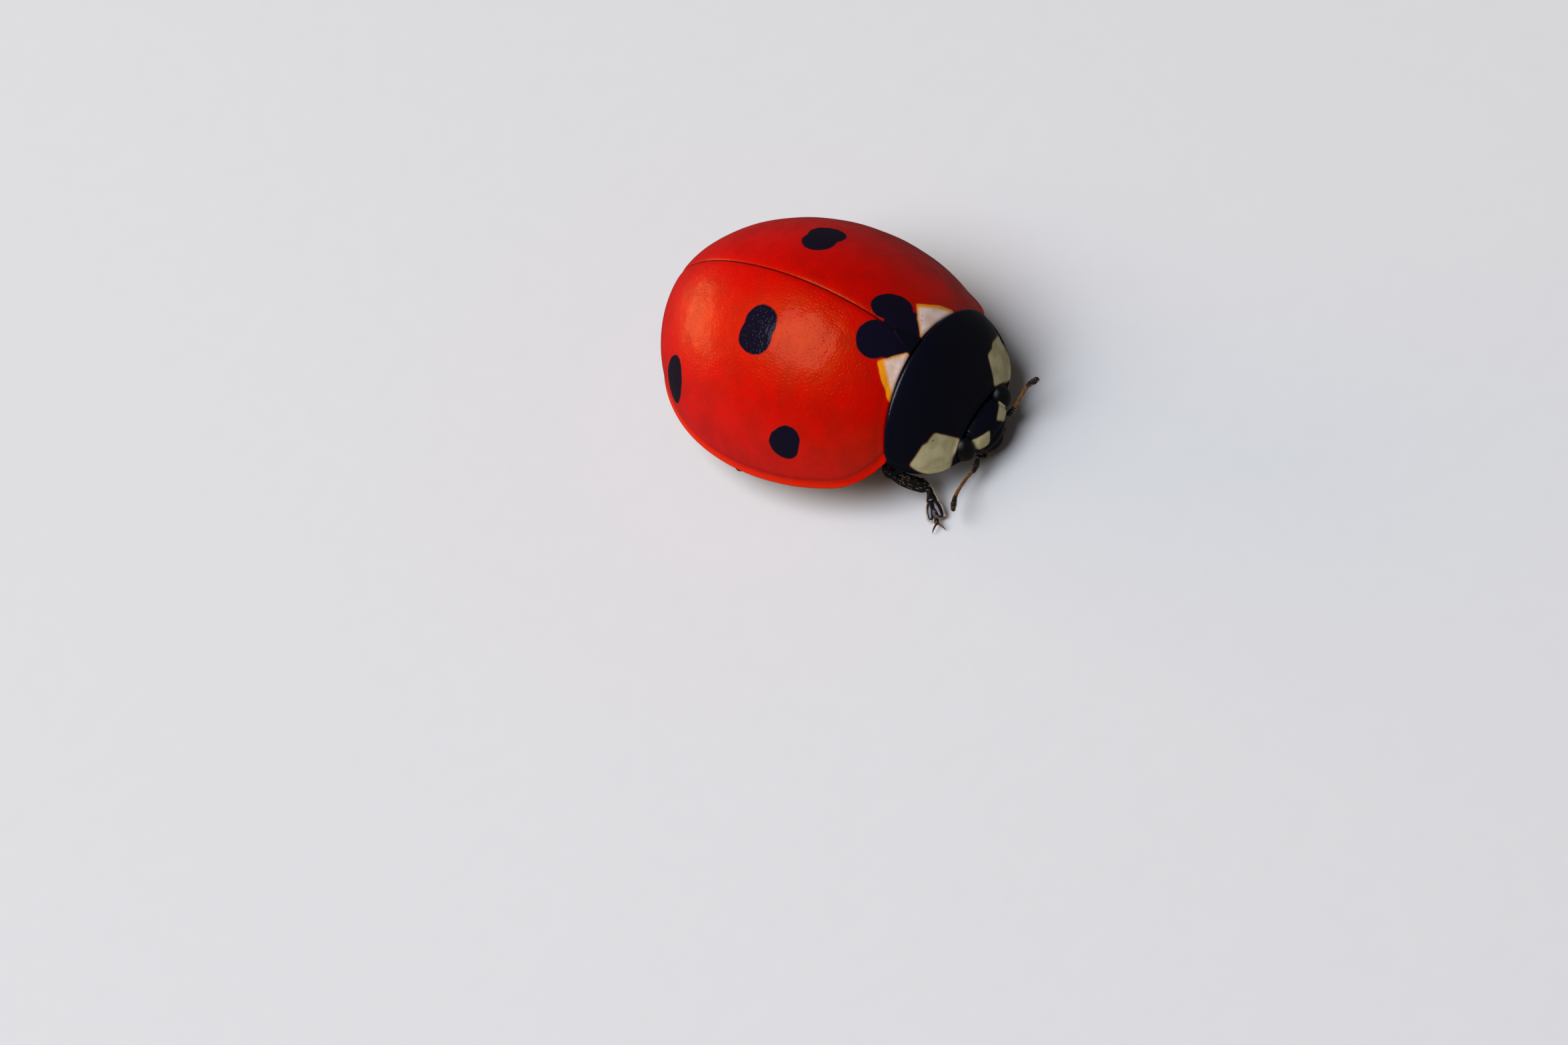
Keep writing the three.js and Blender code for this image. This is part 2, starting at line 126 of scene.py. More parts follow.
# The antennae's axes, each from its root on the head to its tip.
ANTENNAE = {
    "right": (
        (-0.58, 3.74, -0.57), (-0.78, 3.77, -0.63), (-1.0, 3.75, -0.61), (-1.36, 3.77, -0.57),
        (-1.59, 3.84, -0.52), (-1.79, 3.95, -0.46), (-1.9, 4.02, -0.43),
    ),
    "left": (
        (0.54, 3.72, -0.57), (0.62, 3.76, -0.56), (0.72, 3.83, -0.47), (0.85, 3.93, -0.29),
        (1.03, 4.07, -0.06), (1.12, 4.21, 0.06), (1.17, 4.29, 0.13),
    ),
}

# Each leg by its coxa, knee, ankle, pad and claw tip.
LEGS = {
    "fore_right": (
        (-0.42, 2.62, -0.5), (-1.72, 2.42, -0.17),
        (-1.45, 3.06, -0.7), (-1.93, 3.48, -0.9), (-2.17, 3.68, -1.0),
    ),
    "fore_left": (
        (0.42, 2.62, -0.5), (1.8, 2.78, -0.16),
        (1.6, 2.27, -0.73), (2.0, 1.96, -0.9), (2.21, 1.8, -1.0),
    ),
    "mid_right": (
        (-0.55, 1.45, -0.42), (-2.02, 0.95, -0.5),
        (-1.66, 0.24, -0.78), (-1.92, -0.18, -0.9), (-2.02, -0.42, -1.0),
    ),
    "mid_left": (
        (0.55, 1.45, -0.42), (2.2, 1.05, -0.5),
        (2.1, 0.33, -0.76), (2.45, -0.02, -0.9), (2.62, -0.2, -1.0),
    ),
    "hind_right": (
        (-0.62, 0.4, -0.4), (-2.58, -0.72, -0.45),
        (-1.9, -1.42, -0.77), (-1.78, -1.84, -0.9), (-1.72, -2.1, -1.0),
    ),
    "hind_left": (
        (0.62, 0.4, -0.4), (2.42, -0.78, -0.48),
        (2.08, -1.58, -0.77), (2.3, -2.02, -0.9), (2.42, -2.26, -1.0),
    ),
}

# Each wing case's black spots: the lobe it shares at the scutellum with its neck along the suture, the
# one on the disc, the one behind and the one at the side. Spots in one group run together. Each is
# (across, forward, half across, half along, slant of its heading).
SPOTS = {
    "right": (
        ((0.0, 2.53, 0.6, 0.58, 0.0), (0.375, 2.105, 0.4, 0.375, 0.0)),
        ((1.06, -0.09, 0.35, 0.36, 0.0), (1.34, -0.1, 0.35, 0.38, 0.0)),
        ((2.03, -2.18, 0.6, 0.34, 0.65),),
        ((2.55, 0.86, 0.36, 0.32, 0.0), (2.48, 0.94, 0.3, 0.26, 0.0)),
    ),
    "left": (
        ((0.0, 2.53, 0.6, 0.58, 0.0), (0.387, 2.028, 0.43, 0.305, -1.16)),
        ((1.07, -0.07, 0.34, 0.36, 0.0), (1.34, -0.09, 0.33, 0.39, 0.0)),
        ((2.03, -2.15, 0.58, 0.35, 0.65),),
        ((2.62, 1.0, 0.34, 0.34, 0.0), (2.52, 1.25, 0.28, 0.24, 0.0)),
    ),
}

# The pale wedge at each wing case's base, by its corners seen from above: all of it, which is orange
# along the hind edge, and its cream part.
WEDGES = {
    "right": (
        ((0.72, 2.27), (0.2, 2.64), (0.2, 2.8), (1.12, 2.8), (1.15, 2.6)),
        ((0.634, 2.331), (0.2, 2.64), (0.2, 2.8), (1.11, 2.8), (1.133, 2.713)),
    ),
    "left": (
        ((0.76, 2.24), (0.17, 2.68), (0.17, 2.8), (1.24, 2.8), (1.27, 2.58)),
        ((0.717, 2.272), (0.17, 2.68), (0.17, 2.8), (1.24, 2.8), (1.263, 2.635)),
    ),
}

# The ivory marks, each by its corners on the left side and the direction it is seen from. The pronotum's
# front corners have a narrow one that reaches up to the eye and a broad one below. The head has one beside
# each eye.
PRONOTUM_FACING = (0.4, 0.52, 0.76)
PRONOTUM_PATCHES = (
    (((1.01, 3.37, 0.68), (0.66, 3.59, 0.14), (0.95, 3.57, -0.05), (1.4, 3.24, 0.5)), PRONOTUM_FACING),
    ((
        (1.3, 3.27, 0.62), (0.88, 3.57, 0.06), (1.07, 3.56, -0.2), (1.2, 3.51, -0.32),
        (1.42, 3.4, -0.24), (1.66, 3.18, 0.1), (1.71, 3.09, 0.34),
    ), PRONOTUM_FACING),
)
HEAD_PATCHES = (
    (((0.56, 3.7, -0.04), (0.12, 3.88, -0.13), (0.28, 3.88, -0.4), (0.56, 3.8, -0.3)), (0.4, 0.75, 0.5)),
)

# Each pair's hips: half their length across the body and half their width along it.
HIPS = {"fore": (0.22, 0.2), "mid": (0.24, 0.2), "hind": (0.42, 0.17)}

# Half widths of the parts of a leg, as (share of the part's length, half width).
FEMUR = ((0, 0.13), (0.4, 0.235), (0.75, 0.215), (1, 0.19))
TIBIA = ((0, 0.1), (0.35, 0.15), (0.8, 0.16), (1, 0.125))
TARSUS_WEDGE = ((0, 0.05), (0.4, 0.07), (1, 0.12))
TARSUS_LOBE = ((0, 0.055), (0.5, 0.082), (1, 0.06))
CLAW_SEGMENT = ((0, 0.035), (0.6, 0.042), (1, 0.06))

TRUNK_ROOM = 0.6  # the trunk's sides lie this far inside the dome
TRUNK_FILL = 0.72  # its back's height, as a share of the room there
TRUNK_LEVEL = 0.06  # the height of its widest line
THORAX = {"front": 2.76, "rear": 0.32, "belly": -0.28}
ABDOMEN = {"front": 0.42, "rear": -2.98, "belly": -0.24}
VENTRITES = 6  # plates under the abdomen

FINE_HAIR, BODY_HAIR, PAD_HAIR = 0.0022, 0.0025, 0.003  # radii of the hairs
FINE_HAIR_LENGTH, BELLY_HAIR_LENGTH = 0.045, 0.09
PAD_HAIRS = 420  # tried on each part of a pad, where only those on its underside are kept

# How many rows and points round a row the large pieces have.
CASE_ROWS, CASE_TIP_ROWS, CASE_POINTS, CASE_INNER_POINTS = 190, 26, 118, 16
SHIELD_ROWS, SHIELD_LIP_ROWS, SHIELD_POINTS, BREAST_POINTS = 60, 18, 150, 60
HEAD_ROWS, HEAD_POINTS = 120, 200
THORAX_ROWS, ABDOMEN_ROWS, ABDOMEN_TIP_ROWS = 80, 160, 24
POINTS_OVER, POINTS_UNDER = 40, 98  # on the trunk's back and on its underside
EDGE_ROWS = (0, 0.004, 0.012, 0.025, 0.045, 0.07)  # where the rows of a rounded edge lie
WAVE_SEEDS = {"wing_case": 4, "pronotum": 8, "head": 3}  # of the surfaces' slight unevenness
SEEDS = {"head": 11, "antennae": 12, "legs": 13, "trunk": 14}  # of the hairs' random places

# Each antenna segment's share of the length, its half width at root and at end, and its look.
ANTENNA_SEGMENTS = (
    (0.13, 0.046, 0.062, 1), (0.08, 0.044, 0.046, 1), (0.11, 0.03, 0.037, 0), (0.09, 0.031, 0.036, 0),
    (0.09, 0.031, 0.036, 0), (0.07, 0.032, 0.037, 0), (0.07, 0.033, 0.04, 0), (0.07, 0.036, 0.046, 0),
    (0.09, 0.046, 0.066, 1), (0.1, 0.062, 0.076, 1), (0.1, 0.068, 0.05, 1),
)
CLUB = 8  # the number of the first of the three segments that make up the club

# ---- the studio, in metres where nothing else is said ----

IMAGE_WIDTH, IMAGE_HEIGHT = 2352, 1568
RIM_MIDDLE_AT = (1247, 547.6)  # where the middle of the rim lies in the picture, in pixels
SENSOR = 36  # the width of the film, in millimetres
CLIP_NEAR, CLIP_FAR = 0.01, 5

FLOOR_HALF = 0.6
PAPER_GREY = "#d9d9d8"
AIM_HEIGHT = 0.002  # the lights aim at the middle of the animal

# Each light's direction from the animal, its distance, its size and its colour.
KEY_LIGHT = ((-0.385, 0.15, 0.89), 0.3, (0.23, 0.25), "#e4eaff")
BACK_LIGHT = ((-0.19, 0.96, 0.2), 0.35, (0.24, 0.12), "#ffc080")
EVEN_LIGHT = ((-0.45, 0.4, 0.9), 0.6, (0.7, 0.7), "#fcfaec")
BACK_SHARE = 0.6  # the back light's power, as a share of the key light's
ROOM_COLOUR, ROOM_STRENGTH = "#e3e8ee", 0.07


# ---- colours and sizes that a user may change ----


def srgb(code):
    """An sRGB hex colour as linear red, green, blue and an alpha of 1."""
    parts = [int(code[i:i + 2], 16) / 255 for i in (1, 3, 5)]
    return [c / 12.92 if c <= 0.04045 else ((c + 0.055) / 1.055) ** 2.4 for c in parts] + [1.0]


def colour_setting(name, description, code):
    """A colour that a user may change, given as sRGB hex."""
    return FloatVectorProperty(
        name=name, description=description, subtype="COLOR", size=4, min=0, max=1, default=srgb(code)
    )


def length_setting(name, description, millimetres):
    """A length that a user may change, given in millimetres."""
    return FloatProperty(
        name=name, description=description, unit="LENGTH", precision=6, min=0, default=millimetres * MM
    )


def angle_setting(name, description, degrees):
    """An angle that a user may change, given in degrees."""
    default = math.radians(degrees)
    return FloatProperty(name=name, description=description, subtype="ANGLE", default=default)


def power_setting(name, description, watts):
    """A lamp's power that a user may change, given in watts."""
    return FloatProperty(name=name, description=description, unit="POWER", min=0, default=watts)


class LadybirdColours(bpy.types.PropertyGroup):
    wing_red: colour_setting("Wing cases", "Red of the wing cases", "#c80100")
    wing_deep: colour_setting("Wing cases, deep", "Darker red in which the wing cases vary", "#b80000")
    # painted light: this paler red stands in for light shining through the thin edge of the wing cases
    wing_edge_glow: colour_setting("Wing case edge", "Paler red of the thin edge", "#d02004")
    # partly painted reflection: the spots are black, and the blue in this colour stands in for their
    # sky-blue sheen
    spot_with_blue_sheen: colour_setting("Spots", "Blue-black of the spots", "#02021e")
    # painted shade: this dark red stands in for the shade in the groove along the suture
    suture: colour_setting("Suture", "Dark red along the line between the wing cases", "#780004")
    cream: colour_setting("Wing case wedges", "Cream of the wedges at the wing cases' bases", "#fbdccb")
    cream_deep: colour_setting("Wing case wedges, deep", "Duller cream in which the wedges vary", "#e9c3ac")
    ivory: colour_setting("Ivory marks", "Ivory of the marks on pronotum and head", "#c9bc8e")
    ivory_deep: colour_setting("Ivory marks, deep", "Duller ivory in which the marks vary", "#aea374")
    orange: colour_setting("Orange edge", "Orange where cream meets red", "#f89a14")
    seam: colour_setting("Brown edge", "Brown where cream meets black", "#5e2a10")
    # partly painted reflection: the cuticle is black, and the blue in this colour stands in for a navy sheen
    cuticle: colour_setting("Black cuticle", "Blue-black of the pronotum, head and trunk", "#040418")
    cuticle_dull: colour_setting("Black cuticle, dull", "Duller black in which it varies", "#08070e")
    limb: colour_setting("Limbs", "Brownish black of the legs and mouthparts", "#100b0a")
    antenna: colour_setting("Antennae", "Brown of the antennae", "#6b4012")
    club: colour_setting("Antenna ends", "Dark brown of the antennae's first segment and club", "#24150c")
    claw: colour_setting("Claws", "Reddish brown of the claws", "#57200f")
    hair: colour_setting("Hairs", "Pale horn colour of the fine hairs", "#cbbf9f")
    eye: colour_setting("Eyes", "Black of the eyes", "#0a080b")


class LadybirdSizes(bpy.types.PropertyGroup):
    flange: length_setting("Flange", "How far the wing case's edge flares out", 0.05)
    wall: length_setting("Wall", "Thickness of a wing case", 0.1)
    suture_gap: length_setting("Suture gap", "Clear line between the two wing cases", 0.002)
    lap: length_setting("Suture lap", "How far the left case's tongue reaches under the right one", 0.04)
    suture_round: length_setting("Suture edge", "Radius of the edges along the suture", 0.035)
    base_round: length_setting("Base edge", "Radius of the edges where wing cases and pronotum meet", 0.06)
    pit_pitch: length_setting("Pits", "Distance between the fine pits of the cuticle", 0.075)
    hair_length: length_setting("Hairs", "Length of a hair on the legs", 0.075)
    tibia_hairs: IntProperty(name="Tibia hairs", description="Hairs on each tibia", min=0, default=150)


class LadybirdStudio(bpy.types.PropertyGroup):
    azimuth: angle_setting("Azimuth", "Camera's direction round the animal", -37.7875)
    elevation: angle_setting("Elevation", "Camera's angle above the level", 49.0934)
    roll: angle_setting("Roll", "Camera's turn about its own axis", -24.8715)
    distance: length_setting("Distance", "Camera to the middle of the wing cases' rim", 160)
    lens: FloatProperty(name="Lens", description="Focal length at 36 mm", unit="CAMERA", default=185.6)
    key_power: power_setting("Key light", "Power of the softbox above", 0.75)
    fill_power: power_setting("Fill light", "Power of the even light", 2.4)


# ---- geometry ----


def to_frame(points):
    """(across, forward, height) in the animal's millimetres, as metres in the frame."""
    p = np.asarray(points, float).reshape(-1, 3)
    return np.stack([p[:, 0], MIDDLE - p[:, 1], RIM + p[:, 2]], 1) * MM


def unit(vectors):
    """The vectors at a length of 1."""
    v = np.asarray(vectors, float)
    return v / np.maximum(np.linalg.norm(v, axis=-1, keepdims=True), 1e-12)


def spaced(count, ends):
    """Numbers from 0 to 1, set closer towards both ends, evenly where ends is 0."""
    t = np.linspace(0, 1, count)
    return (1 - ends) * t + ends * (1 - np.cos(np.pi * t)) / 2


def curve(points, count):
    """A smooth curve through the points, evenly parted."""
    p = np.asarray(points, float)
    p = np.vstack([2 * p[0] - p[1], p, 2 * p[-1] - p[-2]])
    t = np.linspace(0, len(p) - 3 - 1e-9, count * 4)
    i = t.astype(int)
    u = (t - i)[:, None]
    a, b, c, d = p[i], p[i + 1], p[i + 2], p[i + 3]
    fine = 0.5 * (2 * b + (c - a) * u + (2 * a - 5 * b + 4 * c - d) * u**2 + (3 * b - 3 * c + d - a) * u**3)
    run = run_along(fine)
    even = np.linspace(0, run[-1], count)
    return np.stack([np.interp(even, run, fine[:, k]) for k in range(3)], 1)


def profile(stations, t):
    """Values along t, eased between (t, value) stations."""
    places, values = np.array(stations, float).T
    t = np.asarray(t, float)
    i = np.clip(np.searchsorted(places, t, side="right") - 1, 0, len(places) - 2)
    u = np.clip((t - places[i]) / (places[i + 1] - places[i]), 0, 1)
    return values[i] + (values[i + 1] - values[i]) * u * u * (3 - 2 * u)


def rounded_edge(distance, radius):
    """How far a surface drops at a distance from an edge of that radius."""
    q = np.clip(distance, 0, radius)
    return radius - np.sqrt(np.maximum(radius**2 - (radius - q) ** 2, 0))


def bump(distance, width):
    """1 at the distance 0, falling smoothly to nearly 0 at twice the width."""
    return np.exp(-((distance / width) ** 2))


def along_line(line, share, places=None):
    """Points of a line at shares of its length. places gives its own points' shares if they aren't even."""
    places = np.linspace(0, 1, len(line)) if places is None else places
    return np.stack([np.interp(share, places, line[:, k]) for k in range(3)], -1)


def run_along(points):
    """How far along its line each point lies."""
    return np.concatenate([[0], np.cumsum(np.linalg.norm(np.diff(points, axis=0), axis=1))])


def rounded(t, power=6.0):
    """1 along most of a limb, falling to nearly 0 at both its ends."""
    return np.sqrt(np.maximum(1 - np.abs(2 * t - 1) ** power, 0)) + 1e-3


def through(stations, t):
    """The value at t on a smooth curve through three even stations."""
    start, middle, end = stations
    return start * (2 * t - 1) * (t - 1) + middle * 4 * t * (1 - t) + end * t * (2 * t - 1)


def waves(points, pitch, seed):
    """A gentle irregular field of about -1 to 1, its swells a pitch apart."""
    draw = np.random.default_rng(seed)
    total = np.zeros(points.shape[:-1])
    for _ in range(6):
        direction = unit(draw.normal(size=3)) * 2 * math.pi / pitch * draw.uniform(0.6, 1.4)
        total += np.sin(points @ direction + draw.uniform(0, 2 * math.pi))
    return total / 3


def placed(name, data):
    """A new object of that data, in the scene."""
    made = bpy.data.objects.new(name, data)
    bpy.context.scene.collection.objects.link(made)
    return made


class Shape:
    """Vertices, faces and looks of one mesh, gathered before it is made. A look is a material's number."""

    def __init__(self):
        self.points, self.faces, self.looks, self.count = [], [], [], 0

    def add(self, points, faces, look=0):
        """Adds points and faces, all in one look or each face in its own."""
        points = np.asarray(points, float).reshape(-1, 3)
        self.points.append(points)
        looks = np.broadcast_to(look, len(faces))
        for face, number in zip(faces, looks):
            self.faces.append([self.count + k for k in face])
            self.looks.append(int(number))
        self.count += len(points)

    def rings(self, grid, look=0, caps=(True, True), ring_looks=None):
        """Joins closed rings, given as an array of (ring, point, 3), and gives the shape back."""
        n, m = grid.shape[:2]
        faces, looks = [], []
        for i in range(n - 1):
            for k in range(m):
                after = (k + 1) % m
                faces.append((i * m + k, i * m + after, (i + 1) * m + after, (i + 1) * m + k))
                looks.append(look if ring_looks is None else ring_looks[k])
        for i, wanted in ((0, caps[0]), (n - 1, caps[1])):
            if wanted:
                faces.append([i * m + k for k in range(m)])
                looks.append(look)
        self.add(grid, faces, looks)
        return self

    def sweep(self, path, side, half_width, half_depth, sides, look=0, power=1.0):
        """A limb of oval section along a path, rounded off where its size goes to nothing."""
        path = np.asarray(path, float)
        tangent = unit(np.gradient(path, axis=0))
        across = unit(side - (tangent @ np.asarray(side, float))[:, None] * tangent)
        depth = np.cross(tangent, across)
        turn = np.linspace(0, 2 * math.pi, sides, endpoint=False)
        c, s = (np.sign(v) * np.abs(v) ** power for v in (np.cos(turn), np.sin(turn)))
        w, d = (np.broadcast_to(v, len(path))[:, None, None] for v in (half_width, half_depth))
        grid = path[:, None] + across[:, None] * c[None, :, None] * w + depth[:, None] * s[None, :, None] * d
        self.rings(grid, look)
        return grid

    def hairs(self, roots, directions, lengths, radius):
        """Thin three-sided hairs, bent a little down at half length."""
        roots, directions = np.asarray(roots, float), unit(directions)
        side = unit(np.cross(directions, (0.31, 0.52, 0.8)))
        third = np.cross(directions, side)
        lengths = np.broadcast_to(lengths, len(roots))[:, None]
        droop = np.array([0, 0, -0.12])
        points = []
        for along, thick in ((-0.15, 1.0), (0.5, 0.75)):
            for k in range(3):
                a = 2 * math.pi * k / 3
                out = (side * math.cos(a) + third * math.sin(a)) * radius * thick
                points.append(roots + directions * lengths * along + out + droop * lengths * max(along, 0))
        points.append(roots + (directions + 2 * droop) * lengths)
        grid = np.stack(points, 1)
        pattern = [(0, 1, 4, 3), (1, 2, 5, 4), (2, 0, 3, 5), (3, 4, 6), (4, 5, 6), (5, 3, 6), (2, 1, 0)]
        faces = [[7 * i + k for k in face] for i in range(len(roots)) for face in pattern]
        self.add(grid, faces)

    def piece(self, name, materials, slot, node, weld=True):
        """Makes the Blender object, which rides on the root and stands for the node."""
        mesh = bpy.data.meshes.new(name)
        mesh.from_pydata(to_frame(np.vstack(self.points)).tolist(), [], self.faces)
        mesh.polygons.foreach_set("material_index", self.looks)
        mesh.polygons.foreach_set("use_smooth", [True] * len(mesh.polygons))
        for material in materials:
            mesh.materials.append(material)
        work = bmesh.new()
        work.from_mesh(mesh)
        if weld:
            bmesh.ops.remove_doubles(work, verts=work.verts, dist=2e-4 * MM)
            bmesh.ops.dissolve_degenerate(work, edges=work.edges, dist=1e-5 * MM)
        bmesh.ops.recalc_face_normals(work, faces=work.faces)
        work.to_mesh(mesh)
        work.free()
        mesh.update()
        made = placed(name, mesh)
        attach(made, ROOT)
        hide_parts(node)


# ---- the dome ----


def dome_width(forward, inset=0.0):
    """Half the dome's width at the rim, at a forward place and that far inside its surface."""
    reach = np.where(forward > 0, FRONT_LENGTH, REAR_LENGTH) - inset
    share = np.clip(1 - (forward / reach) ** 2, 0, 1)
    return (HALF_WIDTH - inset) * share ** (PLAN_POWER / 2)


def dome_height(forward, inset=0.0):
    """The ridge's height above the rim, at a forward place and that far inside the dome's surface."""
    reach = np.where(forward > 0, FRONT_PROFILE_LENGTH, REAR_LENGTH) - inset
    share = np.clip(1 - (forward / reach) ** 2, 0, 1)
    return (DOME_HEIGHT - inset) * share ** (PROFILE_POWER / 2)


def dome_point(forward, turn, inset=0.0):
    """The dome's surface at a forward place and a turn from its ridge, in radians."""
    sine, cosine = np.sin(turn), np.maximum(np.cos(turn), 0)
    across = dome_width(forward, inset) * np.sign(sine) * np.abs(sine) ** SECTION_POWER
    return np.stack([across, forward + 0 * turn, dome_height(forward, inset) * cosine**SECTION_POWER], -1)


def dome_normal(points):
    """Outward directions at points of the dome, near enough those of an ellipsoid."""
    reach = np.where(points[..., 1] > 0, FRONT_LENGTH, REAR_LENGTH)
    width, height = np.full_like(reach, HALF_WIDTH), np.full_like(reach, DOME_HEIGHT)
    return unit(points / np.stack([width, reach, height], -1) ** 2)


def on_dome(across, forward):
    """The point of the dome above a place in plan, with its normal."""
    share = min(abs(across) / float(dome_width(np.float64(forward))), 1)
    turn = math.asin(share ** (1 / SECTION_POWER)) * (1 if across >= 0 else -1)
    point = dome_point(np.float64(forward), np.float64(turn))
    return point, dome_normal(point)


# ---- materials ----

EASED = {"interpolation_type": "SMOOTHSTEP"}
SPOT_JOIN = 0.25  # the share of their size over which neighbouring spots run into one another
SWELL_PITCH = 0.4  # millimetres between the swells of a surface
FLECK_PITCH = 0.2  # millimetres between the brown flecks of a pale place


def add(tree, kind, inputs=None, **properties):
    """Adds a shader node. inputs gives sockets, by name or number, a value or another node's output."""
    made = tree.nodes.new("ShaderNode" + kind)
    for name, value in properties.items():
        setattr(made, name, value)
    for key, value in (inputs or {}).items():
        if isinstance(value, bpy.types.NodeSocket):
            tree.links.new(value, made.inputs[key])
        else:
            made.inputs[key].default_value = value
    return made.outputs


def new_surface(name, shader):
    """A material with a Principled shader of those plain values, its tree and the place in millimetres."""
    material = bpy.data.materials.new(name)
    material.use_nodes = True
    tree = material.node_tree
    tree.nodes.clear()
    surface = tree.nodes.new("ShaderNodeBsdfPrincipled")
    for key, value in shader.items():
        surface.inputs[key].default_value = value
    output = tree.nodes.new("ShaderNodeOutputMaterial")
    tree.links.new(surface.outputs[0], output.inputs["Surface"])
    place = add(tree, "TexCoord")["Object"]
    place = add(tree, "VectorMath", {0: place, "Scale": 1 / MM}, operation="SCALE")[0]
    return material, tree, surface, place


def mirrored_place(tree, place, side=0):
    """The same place with its across counted outwards on one side, or on both sides where side is 0."""
    parts = add(tree, "SeparateXYZ", {0: place})
    if side:
        across = add(tree, "Math", {0: parts[0], 1: side}, operation="MULTIPLY")[0]
    else:
        across = add(tree, "Math", {0: parts[0]}, operation="ABSOLUTE")[0]
    return add(tree, "CombineXYZ", {0: across, 1: parts[1], 2: parts[2]})[0]


def wandered(tree, place, amount, pitch):
    """The place moved about by a soft noise, which makes natural uneven outlines."""
    noise = add(tree, "TexNoise", {"Vector": place, "Scale": 1 / pitch, "Detail": 2.0})["Color"]
    centred = add(tree, "VectorMath", {0: noise, 1: (0.5, 0.5, 0.5)}, operation="SUBTRACT")[0]
    return add(tree, "VectorMath", {0: centred, 1: (2 * amount,) * 3, 2: place}, operation="MULTIPLY_ADD")[0]


def coated(tree, colour, coats):
    """A colour under coats of others. Each is (value, low, high, colour) and sets in from low to high."""
    for value, low, high, coat in coats:
        cover = add(tree, "MapRange", {"Value": value, "From Min": low, "From Max": high}, **EASED)[0]
        colour = add(tree, "Mix", {0: cover, 6: colour, 7: coat}, data_type="RGBA")[2]
    return colour


def clouded(tree, place, pitch, first, second, detail, fineness=0.5, edges=None):
    """A colour that drifts from the first to the second in soft clouds a pitch apart, and the clouds.

    edges is the stretch of the clouds' value over which it changes. Without it the value is the share.
    """
    where = {"Vector": place, "Scale": 1 / pitch, "Detail": detail, "Roughness": fineness}
    clouds = add(tree, "TexNoise", where)["Fac"]
    if edges:
        return coated(tree, first, [(clouds, *edges, second)]), clouds
    return add(tree, "Mix", {0: clouds, 6: first, 7: second}, data_type="RGBA")[2], clouds


def united(tree, operation, values, soft=0.0):
    """One value from several: their smallest or largest, with corners that are soft over a width."""
    whole = values[0]
    for value in values[1:]:
        whole = add(tree, "Math", {0: whole, 1: value, 2: soft}, operation=operation)[0]
    return whole


def ovals(tree, place, marks):
    """How far inside the nearest of some oval marks a place is, as a share of the mark's size.

    Each mark is (centre, normal, heading, radii).
    """
    reaches = []
    for centre, normal, heading, radii in marks:
        at = Vector(to_frame(centre)[0]) / MM
        up = Vector((normal[0], -normal[1], normal[2])).normalized()
        ahead = Vector((heading[0], -heading[1], heading[2]))
        ahead = (ahead - up * ahead.dot(up)).normalized()
        turn = Matrix((ahead.cross(up), ahead, up)).transposed().to_euler()
        where = {"Vector": place, "Location": at, "Rotation": turn, "Scale": (*radii, 1.0)}
        local = add(tree, "Mapping", where, vector_type="TEXTURE")[0]
        reaches.append(add(tree, "VectorMath", {0: local}, operation="LENGTH")["Value"])
    nearest = united(tree, "SMOOTH_MIN", reaches, SPOT_JOIN)
    return add(tree, "Math", {0: 1.0, 1: nearest}, operation="SUBTRACT")[0]


def outline(tree, place, corners, facing, depth, round_off):
    """How many millimetres a place lies inside a convex outline, seen along its facing."""
    corners = to_frame(corners) / MM
    facing = unit(np.array([facing[0], -facing[1], facing[2]]))
    centre = corners.mean(0)
    planes = [(facing, centre - depth * facing)]
    for a, b in zip(corners, np.roll(corners, -1, axis=0)):
        inward = unit(np.cross(facing, b - a))
        planes.append((inward * np.sign(inward @ (centre - a)), a))
    insides = []
    for inward, a in planes:
        along = add(tree, "VectorMath", {0: place, 1: inward.tolist()}, operation="DOT_PRODUCT")["Value"]
        insides.append(add(tree, "Math", {0: along, 1: float(inward @ a)}, operation="SUBTRACT")[0])
    return united(tree, "SMOOTH_MIN", insides, round_off)


def laid_flat(tree, place, centre, radii):
    """A dome's surface spread out flat round its top, in millimetres, so that a pattern covers it evenly."""
    centre = (to_frame(centre)[0] / MM).tolist()
    local = add(tree, "VectorMath", {0: place, 1: centre}, operation="SUBTRACT")[0]
    local = add(tree, "VectorMath", {0: local, 1: radii}, operation="DIVIDE")[0]
    local = add(tree, "VectorMath", {0: local}, operation="NORMALIZE")[0]
    rise = add(tree, "SeparateXYZ", {0: local})[2]
    turn = add(tree, "Math", {0: rise}, operation="ARCCOSINE")[0]
    sine = add(tree, "Math", {0: turn}, operation="SINE")[0]
    spread = add(tree, "Math", {0: turn, 1: sine}, operation="DIVIDE")[0]
    spread = add(tree, "Math", {0: spread, 1: sum(radii) / 3}, operation="MULTIPLY")[0]
    return add(tree, "VectorMath", {0: local, "Scale": spread}, operation="SCALE")[0]


